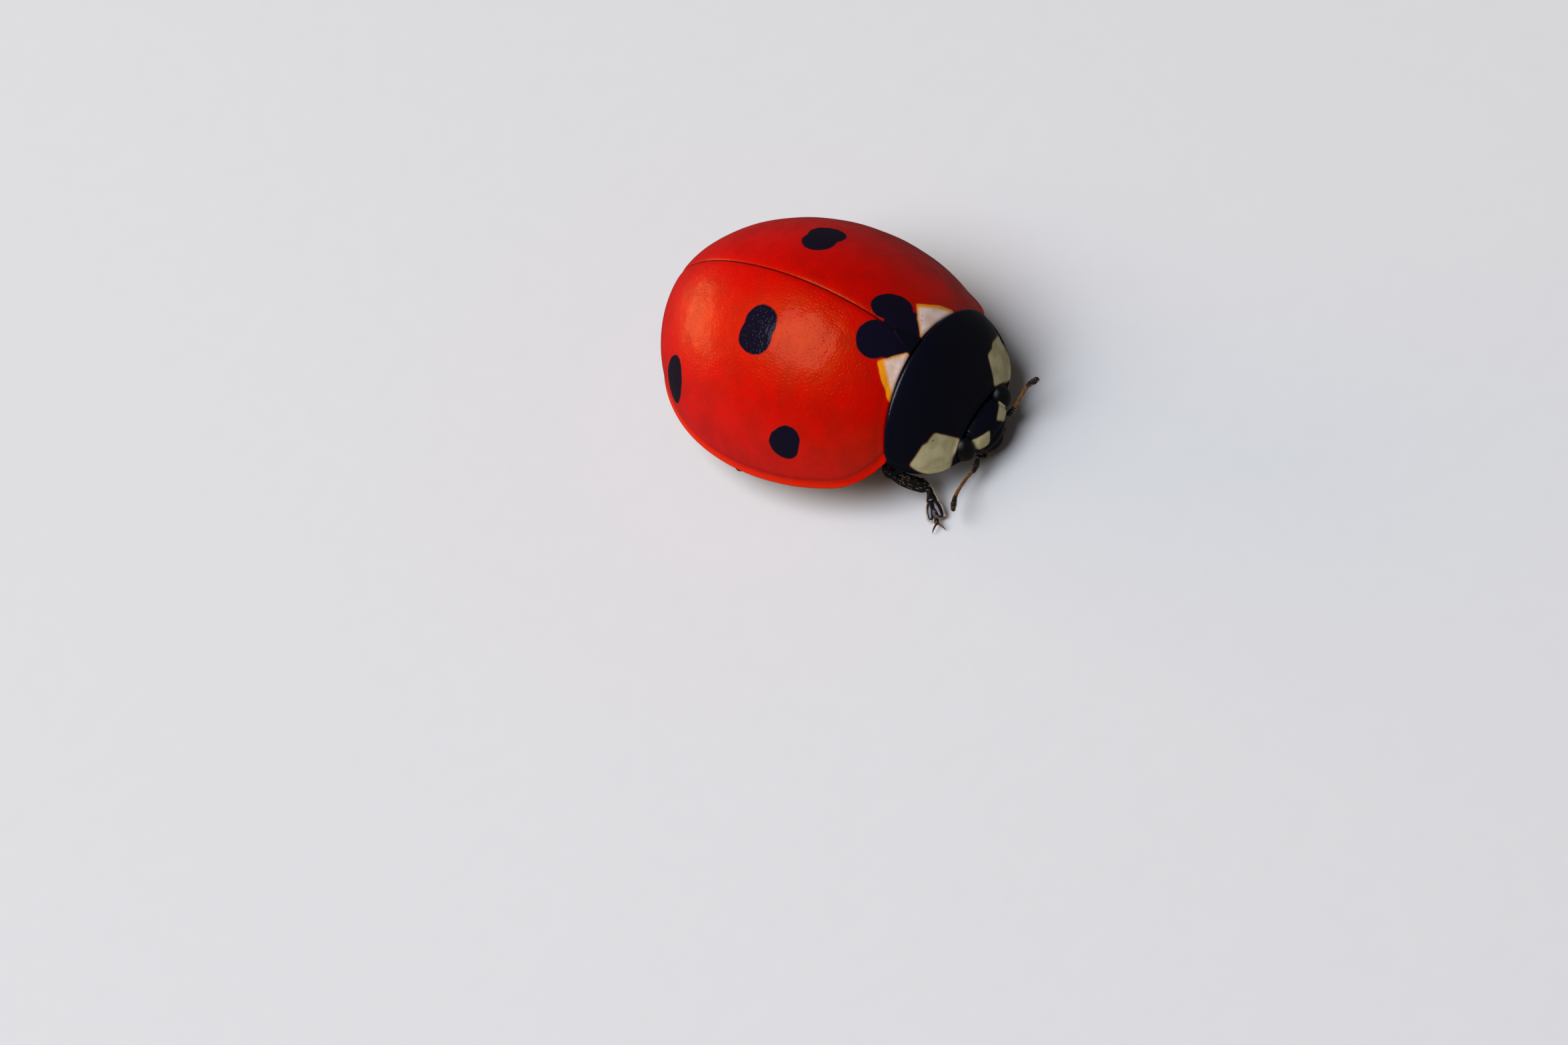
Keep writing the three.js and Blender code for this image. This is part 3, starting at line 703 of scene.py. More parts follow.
def pitted(tree, place, surface, pitch, depth, swell=0.0, flat=None):
    """Fine round pits, a pitch apart, over a soft unevenness a swell high, as bump in millimetres.

    flat is the place on the surface spread out flat, over which the pits lie evenly.
    """
    where = {"Vector": flat or place, "Scale": 1 / pitch, "Randomness": 0.8}
    cells = add(tree, "TexVoronoi", where, voronoi_dimensions="2D" if flat else "3D")
    bowl = {"Value": cells["Distance"], "From Min": 0.06, "From Max": 0.4, "To Min": -depth, "To Max": 0.0}
    bowl = add(tree, "MapRange", bowl, **EASED)[0]
    # no two pits are equally deep
    chance = add(tree, "SeparateXYZ", {0: cells["Color"]})[0]
    pits = add(tree, "Math", {0: bowl, 1: chance}, operation="MULTIPLY")[0]
    where = {"Vector": place, "Scale": 1 / SWELL_PITCH, "Detail": 4.0, "Roughness": 0.45}
    swells = add(tree, "TexNoise", where)["Fac"]
    height = add(tree, "Math", {0: swells, 1: swell, 2: pits}, operation="MULTIPLY_ADD")[0]
    normal = add(tree, "Bump", {"Height": height, "Distance": MM, "Strength": 1.0})[0]
    for socket in ("Normal", "Coat Normal"):
        tree.links.new(normal, surface.inputs[socket])


def bleached(tree, place, pale, deep, flecked):
    """Colour of the unpigmented places: clouded from pale to deep, with a few soft brown flecks."""
    tint, _ = clouded(tree, place, 0.3, pale, deep, detail=3.0, edges=(0.35, 0.65))
    cells = add(tree, "TexVoronoi", {"Vector": place, "Scale": 1 / FLECK_PITCH, "Randomness": 1.0})
    fleck = {"Value": cells["Distance"], "From Min": 0.13, "From Max": 0.04, "To Max": 0.6}
    fleck = add(tree, "MapRange", fleck, **EASED)[0]
    return add(tree, "Mix", {0: fleck, 6: tint, 7: flecked}, data_type="RGBA")[2]


def spot_marks(side):
    """The black spots of one wing case in groups, each spot as (centre, normal, heading, radii)."""
    groups = []
    for group in SPOTS[side]:
        marks = []
        for across, ahead, half_across, half_along, slant in group:
            centre, normal = on_dome(across, ahead)
            marks.append((centre, normal, np.array([slant, 1, 0]), (half_across, half_along)))
        groups.append(marks)
    return groups


def waxed_red_cuticle(side, colours, sizes):
    """Wing case: tanned cuticle under a clear wax film. Deep red with a wet-looking coat and fine pits."""
    # the orange body colour under the cuticle tints its soft gloss, and the wax film adds a fine white one
    material, tree, surface, place = new_surface(f"Cuticle_tanned_red_waxed_{side}", {
        "IOR": 1.5, "Specular IOR Level": 0.7, "Specular Tint": srgb("#b3932f"),
        "Coat Roughness": 0.08, "Coat IOR": 1.45,
        "Subsurface Weight": 0.1, "Subsurface Radius": (1.0, 0.1, 0.04), "Subsurface Scale": 0.15 * MM,
    })
    red, clouds = clouded(
        tree, place, 0.6, colours.wing_deep, colours.wing_red, detail=5.0, fineness=0.6, edges=(0.34, 0.62)
    )
    # painted light: paler red along the thin edge stands in for light shining through it, and a dark red
    # line along the suture is painted shade of its groove
    across, _, height = add(tree, "SeparateXYZ", {0: place})
    beside = add(tree, "Math", {0: across}, operation="ABSOLUTE")[0]
    red = coated(tree, red, (
        (height, RIM + 0.16, RIM + 0.02, colours.wing_edge_glow),
        # painted shade along the suture's groove
        (beside, 0.03, 0.012, colours.suture),
    ))
    uneven = mirrored_place(tree, wandered(tree, place, 0.03, 0.3), SIDES[side])
    spots = []
    for marks in spot_marks(side):
        inside = {"Value": ovals(tree, uneven, marks), "From Min": -0.05, "From Max": 0.05}
        spots.append(add(tree, "MapRange", inside, **EASED)[0])
    spotted = united(tree, "MAXIMUM", spots)
    # the spots' black carries a painted blue sheen
    red = add(tree, "Mix", {0: spotted, 6: red, 7: colours.spot_with_blue_sheen}, data_type="RGBA")[2]
    # the clouds of the red are a little duller where they are dark, which mottles the gloss, and the black
    # pigment is coarser than the red, so that it shows more of the wax than of itself
    worn = {"Value": clouds, "From Min": 0.3, "From Max": 0.7, "To Min": 0.43, "To Max": 0.31}
    worn = add(tree, "MapRange", worn)[0]
    for socket, on_red, on_black in (("Roughness", worn, 1.0), ("Coat Weight", 0.1, 0.25)):
        share = add(tree, "MapRange", {"Value": spotted, "To Min": on_red, "To Max": on_black})[0]
        tree.links.new(share, surface.inputs[socket])
    # cream wedge beside the scutellum, orange along the edge that meets the red
    pale, cream = (
        outline(tree, uneven, [(*corner, 0) for corner in corners], (0, 0, 1), 9, 0.06)
        for corners in WEDGES[side]
    )
    wedge = bleached(tree, place, colours.cream, colours.cream_deep, colours.seam)
    red = coated(tree, red, ((pale, -0.005, 0.035, colours.orange), (cream, 0.0, 0.08, wedge)))
    tree.links.new(red, surface.inputs["Base Color"])
    flat = laid_flat(tree, place, (0, 0, 0), (HALF_WIDTH, REAR_LENGTH, DOME_HEIGHT))
    # real pits lie about 0.06 mm apart, and are drawn a little coarser so that they show
    pitted(tree, place, surface, sizes.pit_pitch / MM, depth=0.003, swell=0.018, flat=flat)
    return material


def clouded_surface(name, shader, pitch, first, second, detail=2.0, edges=None, pits=None):
    """A material that drifts from one colour to another, with pits of a pitch, depth and swell, if given."""
    material, tree, surface, place = new_surface(name, shader)
    colour, _ = clouded(tree, place, pitch, first, second, detail, edges=edges)
    tree.links.new(colour, surface.inputs["Base Color"])
    if pits:
        pitted(tree, place, surface, *pits)
    return material


def wing_case_underside(colours):
    """Inner face and turned-in edge: unwaxed cuticle, orange brown and dull."""
    shader = {"Roughness": 0.5, "IOR": 1.54}
    red, orange = colours.wing_red, colours.orange
    return clouded_surface("Cuticle_unwaxed_orange", shader, 0.5, red, orange, detail=4.0, pits=(0.1, 0.004))


def polished_black_cuticle(name, colours, sizes, patches=(), border=0.0, shield=False):
    """Pronotum, head, scutellum and trunk: heavily tanned cuticle, polished black with fine pits.

    patches are (corners, facing) of ivory marks on both sides. Those that touch run together. border is the
    width of the thin brown line round them, where the black is only thinly laid down. shield is for the
    pronotum, whose pits lie as evenly as those of the wing cases.
    """
    material, tree, surface, place = new_surface(name, {
        "Roughness": 0.28, "IOR": 1.5, "Specular IOR Level": 0.3,
        "Coat Weight": 0.25, "Coat Roughness": 0.06, "Coat IOR": 1.45,
    })
    # the black's blue tint is a painted reflection of a navy sheen
    colour, _ = clouded(tree, place, 0.8, colours.cuticle, colours.cuticle_dull, detail=3.0)
    if patches:
        uneven = mirrored_place(tree, wandered(tree, place, 0.02, 0.35))
        insides = [outline(tree, uneven, corners, facing, 0.3, 0.1) for corners, facing in patches]
        inside = united(tree, "SMOOTH_MAX", insides, 0.1)
        ivory = bleached(tree, place, colours.ivory, colours.ivory_deep, colours.seam)
        colour = coated(tree, colour, (
            (inside, -border - 0.015, 0.01 - border, colours.seam),
            (inside, -0.012, 0.03, ivory),
        ))
    tree.links.new(colour, surface.inputs["Base Color"])
    flat = laid_flat(tree, place, (0, 2.3, -0.4), (1.9, 1.9, 2.2)) if shield else None
    pitted(tree, place, surface, sizes.pit_pitch / MM, depth=0.002, swell=0.008, flat=flat)
    return material


def limb_cuticle(name, colour, roughness):
    """Legs, mouthparts and antennae: tanned cuticle, shiny but uneven, brown where it is thin."""
    shader = {
        "Roughness": roughness, "IOR": 1.5, "Coat Weight": 0.3, "Coat Roughness": 0.12, "Coat IOR": 1.45,
    }
    thin = tuple(min(1, 1.8 * c + 0.004) for c in colour[:3]) + (1,)
    pits = (0.035, 0.0012, 0.004)
    return clouded_surface(name, shader, 0.12, colour, thin, detail=3.0, edges=(0.4, 0.75), pits=pits)


def faceted_eye(colours):
    """Cornea: clear smooth lenses over black pigment. Each lens takes its own small highlight."""
    shader = {"Roughness": 0.14, "IOR": 1.45, "Coat Weight": 0.3, "Coat Roughness": 0.04}
    return clouded_surface("Cornea_lenses_over_black", shader, 0.12, colours.eye, colours.limb)


def hair_keratin(colours):
    """Setae: thin, clear horn-coloured hairs that catch the light."""
    shader = {"Roughness": 0.35, "IOR": 1.55}
    return clouded_surface("Setae_clear_horn", shader, 0.2, colours.hair, colours.cream)


def matte_paper(name, code):
    """Studio floor: matt coated paper. Its faint grain keeps it from looking like a flat fill."""
    pale = srgb(code)
    shaded = [0.97 * c for c in pale[:3]] + [1]
    return clouded_surface(name, {"Roughness": 0.85, "Specular IOR Level": 0.2}, 0.6, shaded, pale, 4.0)


# ---- wing cases ----


def wing_case(side, sizes):
    """One elytron as closed rings from base to tip: outer face, flared rim, turned-in edge, inner face."""
    gap, flare, wall = sizes.suture_gap / MM / 2, sizes.flange / MM, sizes.wall / MM
    front = BASE - 0.005
    start = -math.asin(front / FRONT_LENGTH)
    near = front - np.array(EDGE_ROWS)
    rest = np.linspace(-math.asin((front - 0.1) / FRONT_LENGTH), math.pi / 2 - 0.1, CASE_ROWS)
    # towards the tip the rows draw together, so that its small round end is smooth
    tip = math.pi / 2 - np.concatenate([np.geomspace(0.09, 0.001, CASE_TIP_ROWS), [0]])
    angles = np.concatenate([-np.arcsin(near / FRONT_LENGTH), rest, tip])
    angles = np.maximum(angles, start)
    reach = np.where(angles < 0, FRONT_LENGTH, REAR_LENGTH)
    forward = -reach * np.sin(angles)
    forward[-1] = -REAR_LENGTH
    # outer face, from the suture to the rim
    past_start = np.clip((forward - SHOULDER_START) / (BASE - SHOULDER_START), 0, None)
    climb = SHOULDER_RISE * past_start**2
    height = np.maximum(dome_height(forward), 1e-6)
    last = np.arccos(np.clip(climb / height, 0, 1) ** (1 / SECTION_POWER))
    turn = last[:, None] * spaced(CASE_POINTS, 0.55)[None]
    outer = dome_point(forward[:, None] + 0 * turn, turn)
    outer[..., 0] = np.maximum(outer[..., 0], gap)
    normal = dome_normal(outer)
    level = unit(outer[..., :2] / np.array([HALF_WIDTH**2, REAR_LENGTH**2]))
    level = np.concatenate([level, np.zeros(level.shape[:-1] + (1,))], -1)
    from_suture = outer[..., 0] - gap
    from_rim = outer[..., 2] - climb[:, None]
    from_base = (front - forward)[:, None]
    lift = -rounded_edge(from_suture, sizes.suture_round / MM)
    lift = lift - rounded_edge(from_base, sizes.base_round / MM)
    # a shallow furrow beside the suture and one behind the base, then the shoulder's knob and soft waves
    lift = lift - 0.014 * bump(from_suture, 0.07) - 0.012 * bump(from_base - 0.12, 0.06)
    shoulder = np.linalg.norm(outer - np.array(SHOULDER_KNOB_AT), axis=-1)
    lift = lift + 0.05 * bump(shoulder, 0.38) + 0.004 * waves(outer, 1.1, WAVE_SEEDS["wing_case"])
    # the flange, with a slight gutter above it
    flange = flare * bump(from_rim, 0.06) - 0.35 * flare * bump(from_rim - 0.15, 0.06)
    fade = np.clip(outer[:, -1:, 0] / 0.5, 0, 1)
    outer = outer + normal * lift[..., None] + level * (flange * (0.4 + 0.6 * fade))[..., None]
    outer[..., 0] = np.maximum(outer[..., 0], gap)
    # rim bead and turned-in edge, which narrows to the tip
    rim, out = outer[:, -1], level[:, -1]
    narrow = profile([(0, 0.25), (0.2, 0.75), (0.6, 1)], np.cos(np.clip(angles, 0, None)))[:, None]
    under = [rim - out * inward + [0, 0, rise] for inward, rise in RIM_BEAD]
    bead = RIM_BEAD[-1][0]
    under += [rim - out * (bead + (inward - bead) * narrow) + [0, 0, rise] for inward, rise in TURNED_IN]
    under = np.stack(under, 1)
    # inner face, from the edge back to the suture
    back_turn = last[:, None] * np.linspace(0.97, 0, CASE_INNER_POINTS)[None]
    inset = wall + (0.02 + 0.38 * narrow - wall) * (back_turn / (math.pi / 2)) ** 4
    scale = np.where(forward[:, None] < 0, (REAR_LENGTH - inset) / REAR_LENGTH, 1.0)
    inner = dome_point(forward[:, None] * scale, back_turn, inset)
    inner[..., 2] = np.maximum(inner[..., 2], climb[:, None] + 0.02)
    grid = np.concatenate([outer, under, inner], 1)
    grid[..., 0] = np.maximum(grid[..., 0], gap)
    # along the suture the left case has a tongue, and the right one a step that takes it
    top, foot = grid[:, 0], grid[:, -1]
    share = 0.5 + 0.06 * side
    step = top + (foot - top) * share
    lap = -side * sizes.lap / MM * np.clip(height / 0.5, 0, 1) + (0.5 - 0.5 * side) * 2 * gap
    joint = np.stack([foot, step, step], 1)
    joint[:, :2, 0] = (gap + lap)[:, None]
    grid = np.concatenate([grid, joint], 1)
    grid[..., 1] = np.minimum(grid[..., 1], front)
    grid[..., 0] *= side
    red = outer.shape[1] + RED_BEAD
    return Shape().rings(grid, look=1, ring_looks=[0] * red + [1] * (grid.shape[1] - red))


# ---- pronotum and scutellum ----


def pronotum_point(t, turn):
    """The shield's surface at t from its hind to its front edge and a turn from its middle line."""
    share = np.sin(turn)
    margin, top = through(PRONOTUM["margin"], t), through(PRONOTUM["top"], t)
    # the front corners are rounded off
    corner = rounded_edge(1 - t, 0.22)
    across = through(PRONOTUM["half_width"], t) * share - corner * share**9
    forward = through(PRONOTUM["forward"], t) - through(PRONOTUM["side_back"], t) * share**4
    height = margin + (top - margin) * np.maximum(np.cos(turn), 0) ** PRONOTUM_ARCH
    return np.stack([across + 0 * t, forward, height], -1)


def pronotum(sizes):
    """The shield over the first thorax segment, with beaded sides, thin front lip and the breast below."""
    lip = 1 - np.geomspace(0.08, 0.002, SHIELD_LIP_ROWS)
    rows = np.concatenate([EDGE_ROWS, np.linspace(0.1, 0.9, SHIELD_ROWS), lip, [1.0]])
    turn = (spaced(SHIELD_POINTS, 0.45) * 2 - 1) * (math.pi / 2)
    t, turns = np.meshgrid(rows, turn, indexing="ij")
    top = pronotum_point(t, turns)
    before, after = np.clip(turns - 0.01, -1.57, 1.57), np.clip(turns + 0.01, -1.57, 1.57)
    d_turn = pronotum_point(t, after) - pronotum_point(t, before)
    before, after = np.clip(t - 0.01, 0, 1), np.clip(t + 0.01, 0, 1)
    d_row = pronotum_point(after, turns) - pronotum_point(before, turns)
    normal = unit(np.cross(d_turn, d_row))
    normal *= np.sign((normal * (top - np.array([0, 2.6, -0.4]))).sum(-1, keepdims=True))
    steps = np.linalg.norm(np.diff(top, axis=1), axis=-1)
    run = np.concatenate([np.zeros((len(rows), 1)), np.cumsum(steps, axis=1)], 1)
    from_side = np.minimum(run, run[:, -1:] - run)
    from_hind = np.linalg.norm(top - top[:1], axis=-1)
    from_front = np.linalg.norm(top - top[-1:], axis=-1)
    lift = -rounded_edge(from_hind, sizes.base_round / MM) - rounded_edge(from_front, 0.02)
    # a bead and a furrow along the sides, then the same along the front edge
    lift += 0.022 * bump(from_side, 0.04) - 0.012 * bump(from_side - 0.1, 0.05)
    lift += 0.014 * bump(from_front - 0.02, 0.03) - 0.01 * bump(from_front - 0.1, 0.05)
    lift += 0.004 * waves(top, 0.9, WAVE_SEEDS["pronotum"])
    top = top + normal * lift[..., None]
    # the breast, from the left margin back to the right one
    share = np.linspace(1, -1, BREAST_POINTS + 2)[1:-1]
    under_turn = np.broadcast_to(np.arcsin(share), (len(rows), len(share)))
    t_under = np.broadcast_to(rows[:, None], under_turn.shape)
    margin, belly = through(PRONOTUM["margin"], t_under), through(PRONOTUM["belly"], t_under)
    breast = pronotum_point(t_under, under_turn)
    breast[..., 2] = belly + (margin - belly) * np.abs(np.sin(under_turn)) ** PRONOTUM_BELLY
    # a keel between the fore coxae
    breast[..., 2] -= 0.05 * bump(breast[..., 0], 0.12) * bump(t_under - 0.3, 0.5)
    grid = np.concatenate([top, breast], 1)
    # the collar that holds the head: the front ring turned back inside
    collar = []
    for back, shrink in COLLAR:
        ring = COLLAR_CENTRE + (grid[-1] - COLLAR_CENTRE) * shrink
        ring[:, 1] = grid[-1, :, 1] - back
        collar.append(ring)
    return Shape().rings(np.concatenate([grid, np.stack(collar)], 0))


def scutellum():
    """The small black triangle between the bases of the wing cases."""
    rows = np.linspace(0, 1, 14)
    grid = []
    for t in rows:
        forward = BASE - 0.02 - SCUTELLUM["length"] * t
        half = SCUTELLUM["half_width"] * (1 - t) ** 0.8 + 0.004
        across = np.linspace(-half, half, 13)
        swell = 0.02 * (1 - (across / half) ** 2) * (1 - t) - 0.03 * bump(t, 0.12)
        top = dome_height(np.float64(forward)) + SCUTELLUM["proud"] + swell
        ring = [(x, forward, z) for x, z in zip(across, top)]
        ring += [(x, forward, z - SCUTELLUM["thickness"]) for x, z in zip(across[::-1], top[::-1])]
        grid.append(ring)
    return Shape().rings(np.array(grid))


# ---- head ----


def head_capsule():
    """Head, bent down: flat face narrowing to the mouth, a plate above it and a trough round each eye."""
    polar = np.linspace(0, math.pi, HEAD_ROWS)
    around = np.linspace(0, 2 * math.pi, HEAD_POINTS, endpoint=False)
    p, a = np.meshgrid(polar, around, indexing="ij")
    out = np.stack([np.sin(p) * np.cos(a), np.sin(p) * np.sin(a), np.cos(p)], -1)
    at = np.array(HEAD_AT) + out * np.array(HEAD_RADII)
    # the face narrows towards the mouth
    at[..., 0] *= 1 - 0.22 * np.clip(-out[..., 2], 0, 1) ** 1.5 * np.clip(out[..., 1] + 0.4, 0, 1)
    plate = np.linalg.norm((at - np.array(FACE_PLATE_AT)) / np.array(FACE_PLATE_RADII), axis=-1)
    at = at + out * (0.06 * bump(plate, 0.85) - 0.02 * bump(plate - 1.25, 0.2))[..., None]
    for side in SIDES.values():
        flip = np.array([side, 1, 1])
        eye = (at - EYE_AT * flip) / np.array(EYE_RADII)
        at = at - out * (0.03 * bump(np.linalg.norm(eye, axis=-1) - 1.14, 0.14))[..., None]
        pit = np.linalg.norm(at - ANTENNA_PIT_AT * flip, axis=-1)
        at = at - out * (0.06 * bump(pit, 0.1))[..., None]
    at = at + out * (0.004 * waves(at, 0.35, WAVE_SEEDS["head"]))[..., None]
    return Shape().rings(at, caps=(False, False))


def mouthparts(shape, hair_shape, draw):
    """Lip, two jaws, two long palps with axe-shaped ends and two short palps."""
    s = np.linspace(-1, 1, 26)
    lip = np.stack([0.27 * s, 3.79 - 0.09 * s**2, -0.715 + 0.015 * s**2], 1)
    size = np.sqrt(np.maximum(1 - s**2, 0)) ** 0.7 + 1e-3
    shape.sweep(lip, (0, 0.75, -0.65), 0.09 * size, 0.045 * size, 18, look=1)
    for side in SIDES.values():
        flip = np.array([side, 1, 1])
        u = np.linspace(0, 1, 20)
        size = (1 - u**2) ** 0.6 + 2e-3
        shape.sweep(curve(JAW * flip, 20), (0, 0, 1), 0.085 * size, 0.05 * size, 14, look=2)
        for part, (a, b) in enumerate(zip(PALP, PALP[1:])):
            u = np.linspace(0, 1, 14)
            path = curve(np.array([a, b]) * flip, 14)
            ends = rounded(u)
            wide = (0.035 + 0.012 * part * u) * ends
            if part == 3:
                wide = profile([(0, 0.04), (0.75, 0.11), (1, 0.11)], u) * ends
            shape.sweep(path, (side * 0.6, 0.3, 0.7), wide, 0.034 * ends, 14, look=1)
            roots = path[3:-2] + draw.normal(0, 0.004, (len(path) - 5, 3))
            heading = unit((np.array(b) - np.array(a)) * flip)
            aim = heading + draw.normal(0, 0.6, (len(roots), 3))
            hair_shape.hairs(roots, aim, 0.05, FINE_HAIR)
        ends = rounded(np.linspace(0, 1, 16))
        shape.sweep(curve(SHORT_PALP * flip, 16), (0, 0, 1), 0.03 * ends, 0.028 * ends, 12, look=1)


def compound_eye(side):
    """An eye of domed lenses, nearly all six-sided: the dual of a finely divided icosahedron."""
    work = bmesh.new()
    bmesh.ops.create_icosphere(work, subdivisions=5, radius=1.0)
    work.normal_update()
    centres = {face: face.calc_center_median().normalized() for face in work.faces}
    points, faces = [], []
    for vertex in work.verts:
        middle = vertex.co.normalized()
        ring = [centres[face] for face in vertex.link_faces]
        first = (ring[0] - middle).normalized()
        second = middle.cross(first)
        ring.sort(key=lambda c: math.atan2((c - middle).dot(second), (c - middle).dot(first)))
        start = len(points)
        points += [c * LENS_EDGE for c in ring]
        points += [(middle + (c - middle) * LENS_SHOULDER_AT).normalized() * LENS_SHOULDER for c in ring]
        points.append(middle * LENS_TOP)
        n = len(ring)
        for k in range(n):
            after = (k + 1) % n
            faces.append((start + k, start + after, start + n + after, start + n + k))
            faces.append((start + n + k, start + n + after, start + 2 * n))
    work.free()
    at = np.array(EYE_AT) * [side, 1, 1]
    shape = Shape()
    shape.add(at + np.array([tuple(p) for p in points]) * np.array(EYE_RADII), faces)
    return shape


# ---- antennae ----


def antenna(name, shape, hair_shape, draw):
    """Eleven short segments, the last three thickened to a club, with fine hairs."""
    axis = curve(ANTENNAE[name], 240)
    places = run_along(axis)
    places /= places[-1]
    done = 0.0
    for part, (share, root, end, look) in enumerate(ANTENNA_SEGMENTS):
        t = spaced(20, 0.8)
        path = along_line(axis, done - 0.004 + (share + 0.004) * t, places)
        width = (root + (end - root) * t**1.4) * (1 - (2 * t - 1) ** 12) ** 0.5 + 1e-4
        depth, count = (0.8 * width, 26) if part >= CLUB else (width, 10)
        shape.sweep(path, (0, 0, 1), width, depth, 16, look=look)
        place = draw.uniform(0.15, 1, count)
        heading = unit(path[-1] - path[0])
        around = unit(np.cross(draw.normal(size=(count, 3)), heading))
        radius = np.interp(place, t, width)[:, None] * 0.9
        roots = along_line(axis, done + share * place, places) + around * radius
        hair_shape.hairs(roots, around + 1.1 * heading, FINE_HAIR_LENGTH, FINE_HAIR)
        done += share


# ---- legs ----


def leg_frame(points):
    """A leg's points, with the normal of the plane in which femur and tibia lie."""
    coxa, knee, ankle, pad, claw = (np.array(p, float) for p in points)
    plane = unit(np.cross(knee - coxa, ankle - knee))
    return coxa, knee, ankle, pad, claw, plane


def scatter(draw, grid, count, low=0.1):
    """Random places on a limb, from a low share to its end, with their outward directions and headings."""
    i = (draw.uniform(low, 1.0, count) * (len(grid) - 2)).astype(int)
    k = draw.integers(0, grid.shape[1], count)
    roots = grid[i, k]
    middle = grid[i].mean(1)
    heading = unit(grid[np.minimum(i + 1, len(grid) - 1)].mean(1) - middle)
    return roots, unit(roots - middle), heading


def tarsus_line(points):
    """The tarsus's middle line with its side and up directions."""
    _, _, ankle, pad, claw, _ = leg_frame(points)
    heading = claw - ankle
    heading = unit(heading - [0, 0, 0.4 * heading[2]])
    side = unit(np.cross((0, 0, 1.0), heading))
    up = np.cross(heading, side)
    line = curve([ankle, (ankle + pad) / 2 + 0.02 * up, pad, (pad + claw) / 2], 40)
    return line, side, up


def leg(points, hip, sizes, draw):
    """Hip, femur, tibia and tarsus of one leg, with its hairs."""
    coxa, knee, ankle, _, _, plane = leg_frame(points)
    hair = sizes.hair_length / MM
    body, hairs = Shape(), Shape()
    # coxa: an oval bar in its socket, lying across the body
    inward = unit(np.array([-coxa[0], 0, 0]))
    length, width = hip
    u = np.linspace(0, 1, 24)
    bar = [coxa + inward * length + [0, 0, 0.08], coxa + [0, 0, 0.04], coxa - inward * length + [0, 0, 0.1]]
    body.sweep(curve(bar, 24), (0, 1, 0), width * rounded(u, 3), 0.8 * width * rounded(u, 3), 22)
    # trochanter and femur
    along = unit(knee - coxa)
    in_plane = unit(np.cross(plane, along))
    u = np.linspace(0, 1, 20)
    ring = curve([coxa + along * 0.02, coxa + along * 0.36], 20)
    body.sweep(ring, in_plane, 0.14 * rounded(u, 4), 0.12 * rounded(u, 4), 18)
    u = spaced(44, 0.7)
    start = coxa + along * 0.22
    bow = np.sin(np.pi * u)[:, None] * in_plane
    path = start + (knee + along * 0.1 - start) * u[:, None] + 0.03 * bow
    width = profile(FEMUR, u) * rounded(u, 9)
    femur = body.sweep(path, in_plane, width, width * 0.7, 28)
    # tibia, narrow at the knee and bowed outwards
    along = unit(ankle - knee)
    in_plane = unit(np.cross(plane, along))
    bow = np.sin(np.pi * u)[:, None] * in_plane
    path = knee + (ankle + along * 0.03 - knee) * u[:, None] - 0.05 * bow
    width = profile(TIBIA, u) * rounded(u, 10)
    tibia = body.sweep(path, in_plane, width, width * 0.66, 28, power=1.1)
    for grid, count, length, low in ((femur, 70, 0.55, 0.3), (tibia, sizes.tibia_hairs, 0.65, 0.15)):
        roots, out, heading = scatter(draw, grid, count, low)
        aim = 0.4 * out + heading + draw.normal(0, 0.12, (count, 3))
        hairs.hairs(roots, aim, hair * length * draw.uniform(0.7, 1.2, count), BODY_HAIR)
    # tarsus: a wedge, a pad of two lobes and a slender claw segment between them
    line, side, up = tarsus_line(points)
    u = spaced(24, 0.7)
    width = profile(TARSUS_WEDGE, u) * rounded(u, 9)
    pads = [(body.sweep(along_line(line, 0.44 * u - 0.01), side, width, width * 0.55, 20), 0.7)]
    for turn in (-1, 1):
        spread = side * turn * (0.035 + 0.075 * u[:, None])
        width = profile(TARSUS_LOBE, u) * rounded(u)
        middle = along_line(line, 0.34 + 0.5 * u) + spread - up * 0.012
        pads.append((body.sweep(middle, side, width, width * 0.5, 18), 1.0))
    for grid, share in pads:
        roots, out, ahead = scatter(draw, grid, PAD_HAIRS)
        low = out @ up < 0.3
        number = int(low.sum())
        aim = 0.65 * out[low] + 0.7 * ahead[low] - 0.3 * up + draw.normal(0, 0.1, (number, 3))
        hairs.hairs(roots[low], aim, hair * share * draw.uniform(0.7, 1.2, number), PAD_HAIR)
    width = profile(CLAW_SEGMENT, u) * rounded(u, 8)
    middle = along_line(line, 0.58 + 0.44 * u) + up * (0.028 + 0.012 * u[:, None])
    slender = body.sweep(middle, side, width, width * 0.85, 16)
    roots, out, ahead = scatter(draw, slender, 60)
    hairs.hairs(roots, 0.5 * out + ahead, FINE_HAIR_LENGTH, FINE_HAIR)
    return body, hairs


def claws(points):
    """The two hooked claws of a leg, each with a tooth at its base."""
    line, side, _ = tarsus_line(points)
    claw = np.array(points[-1], float)
    root = line[-1] + [0, 0, 0.035]
    heading = unit(claw - line[-1])
    shape = Shape()
    for turn in (-1, 1):
        aside = side * turn
        bend = root + heading * 0.06 + aside * 0.06 + [0, 0, 0.02]
        reach = bend + heading * 0.07 + aside * 0.05
        hook = curve([root + aside * 0.015, bend, reach, claw + aside * 0.14], 22)
        u = np.linspace(0, 1, 22)
        size = 0.03 * (1 - 0.8 * u) * np.sqrt(np.maximum(1 - u**8, 0)) + 3e-4
        shape.sweep(hook, (0, 0, 1), size, size * 0.8, 12)
        tooth = curve([hook[4], hook[9] - [0, 0, 0.03], hook[12] - [0, 0, 0.045]], 10)
        u = np.linspace(0, 1, 10)
        shape.sweep(tooth, (0, 0, 1), 0.022 * (1 - u) + 3e-4, 0.016 * (1 - u) + 3e-4, 10)
    return shape


# ---- trunk ----


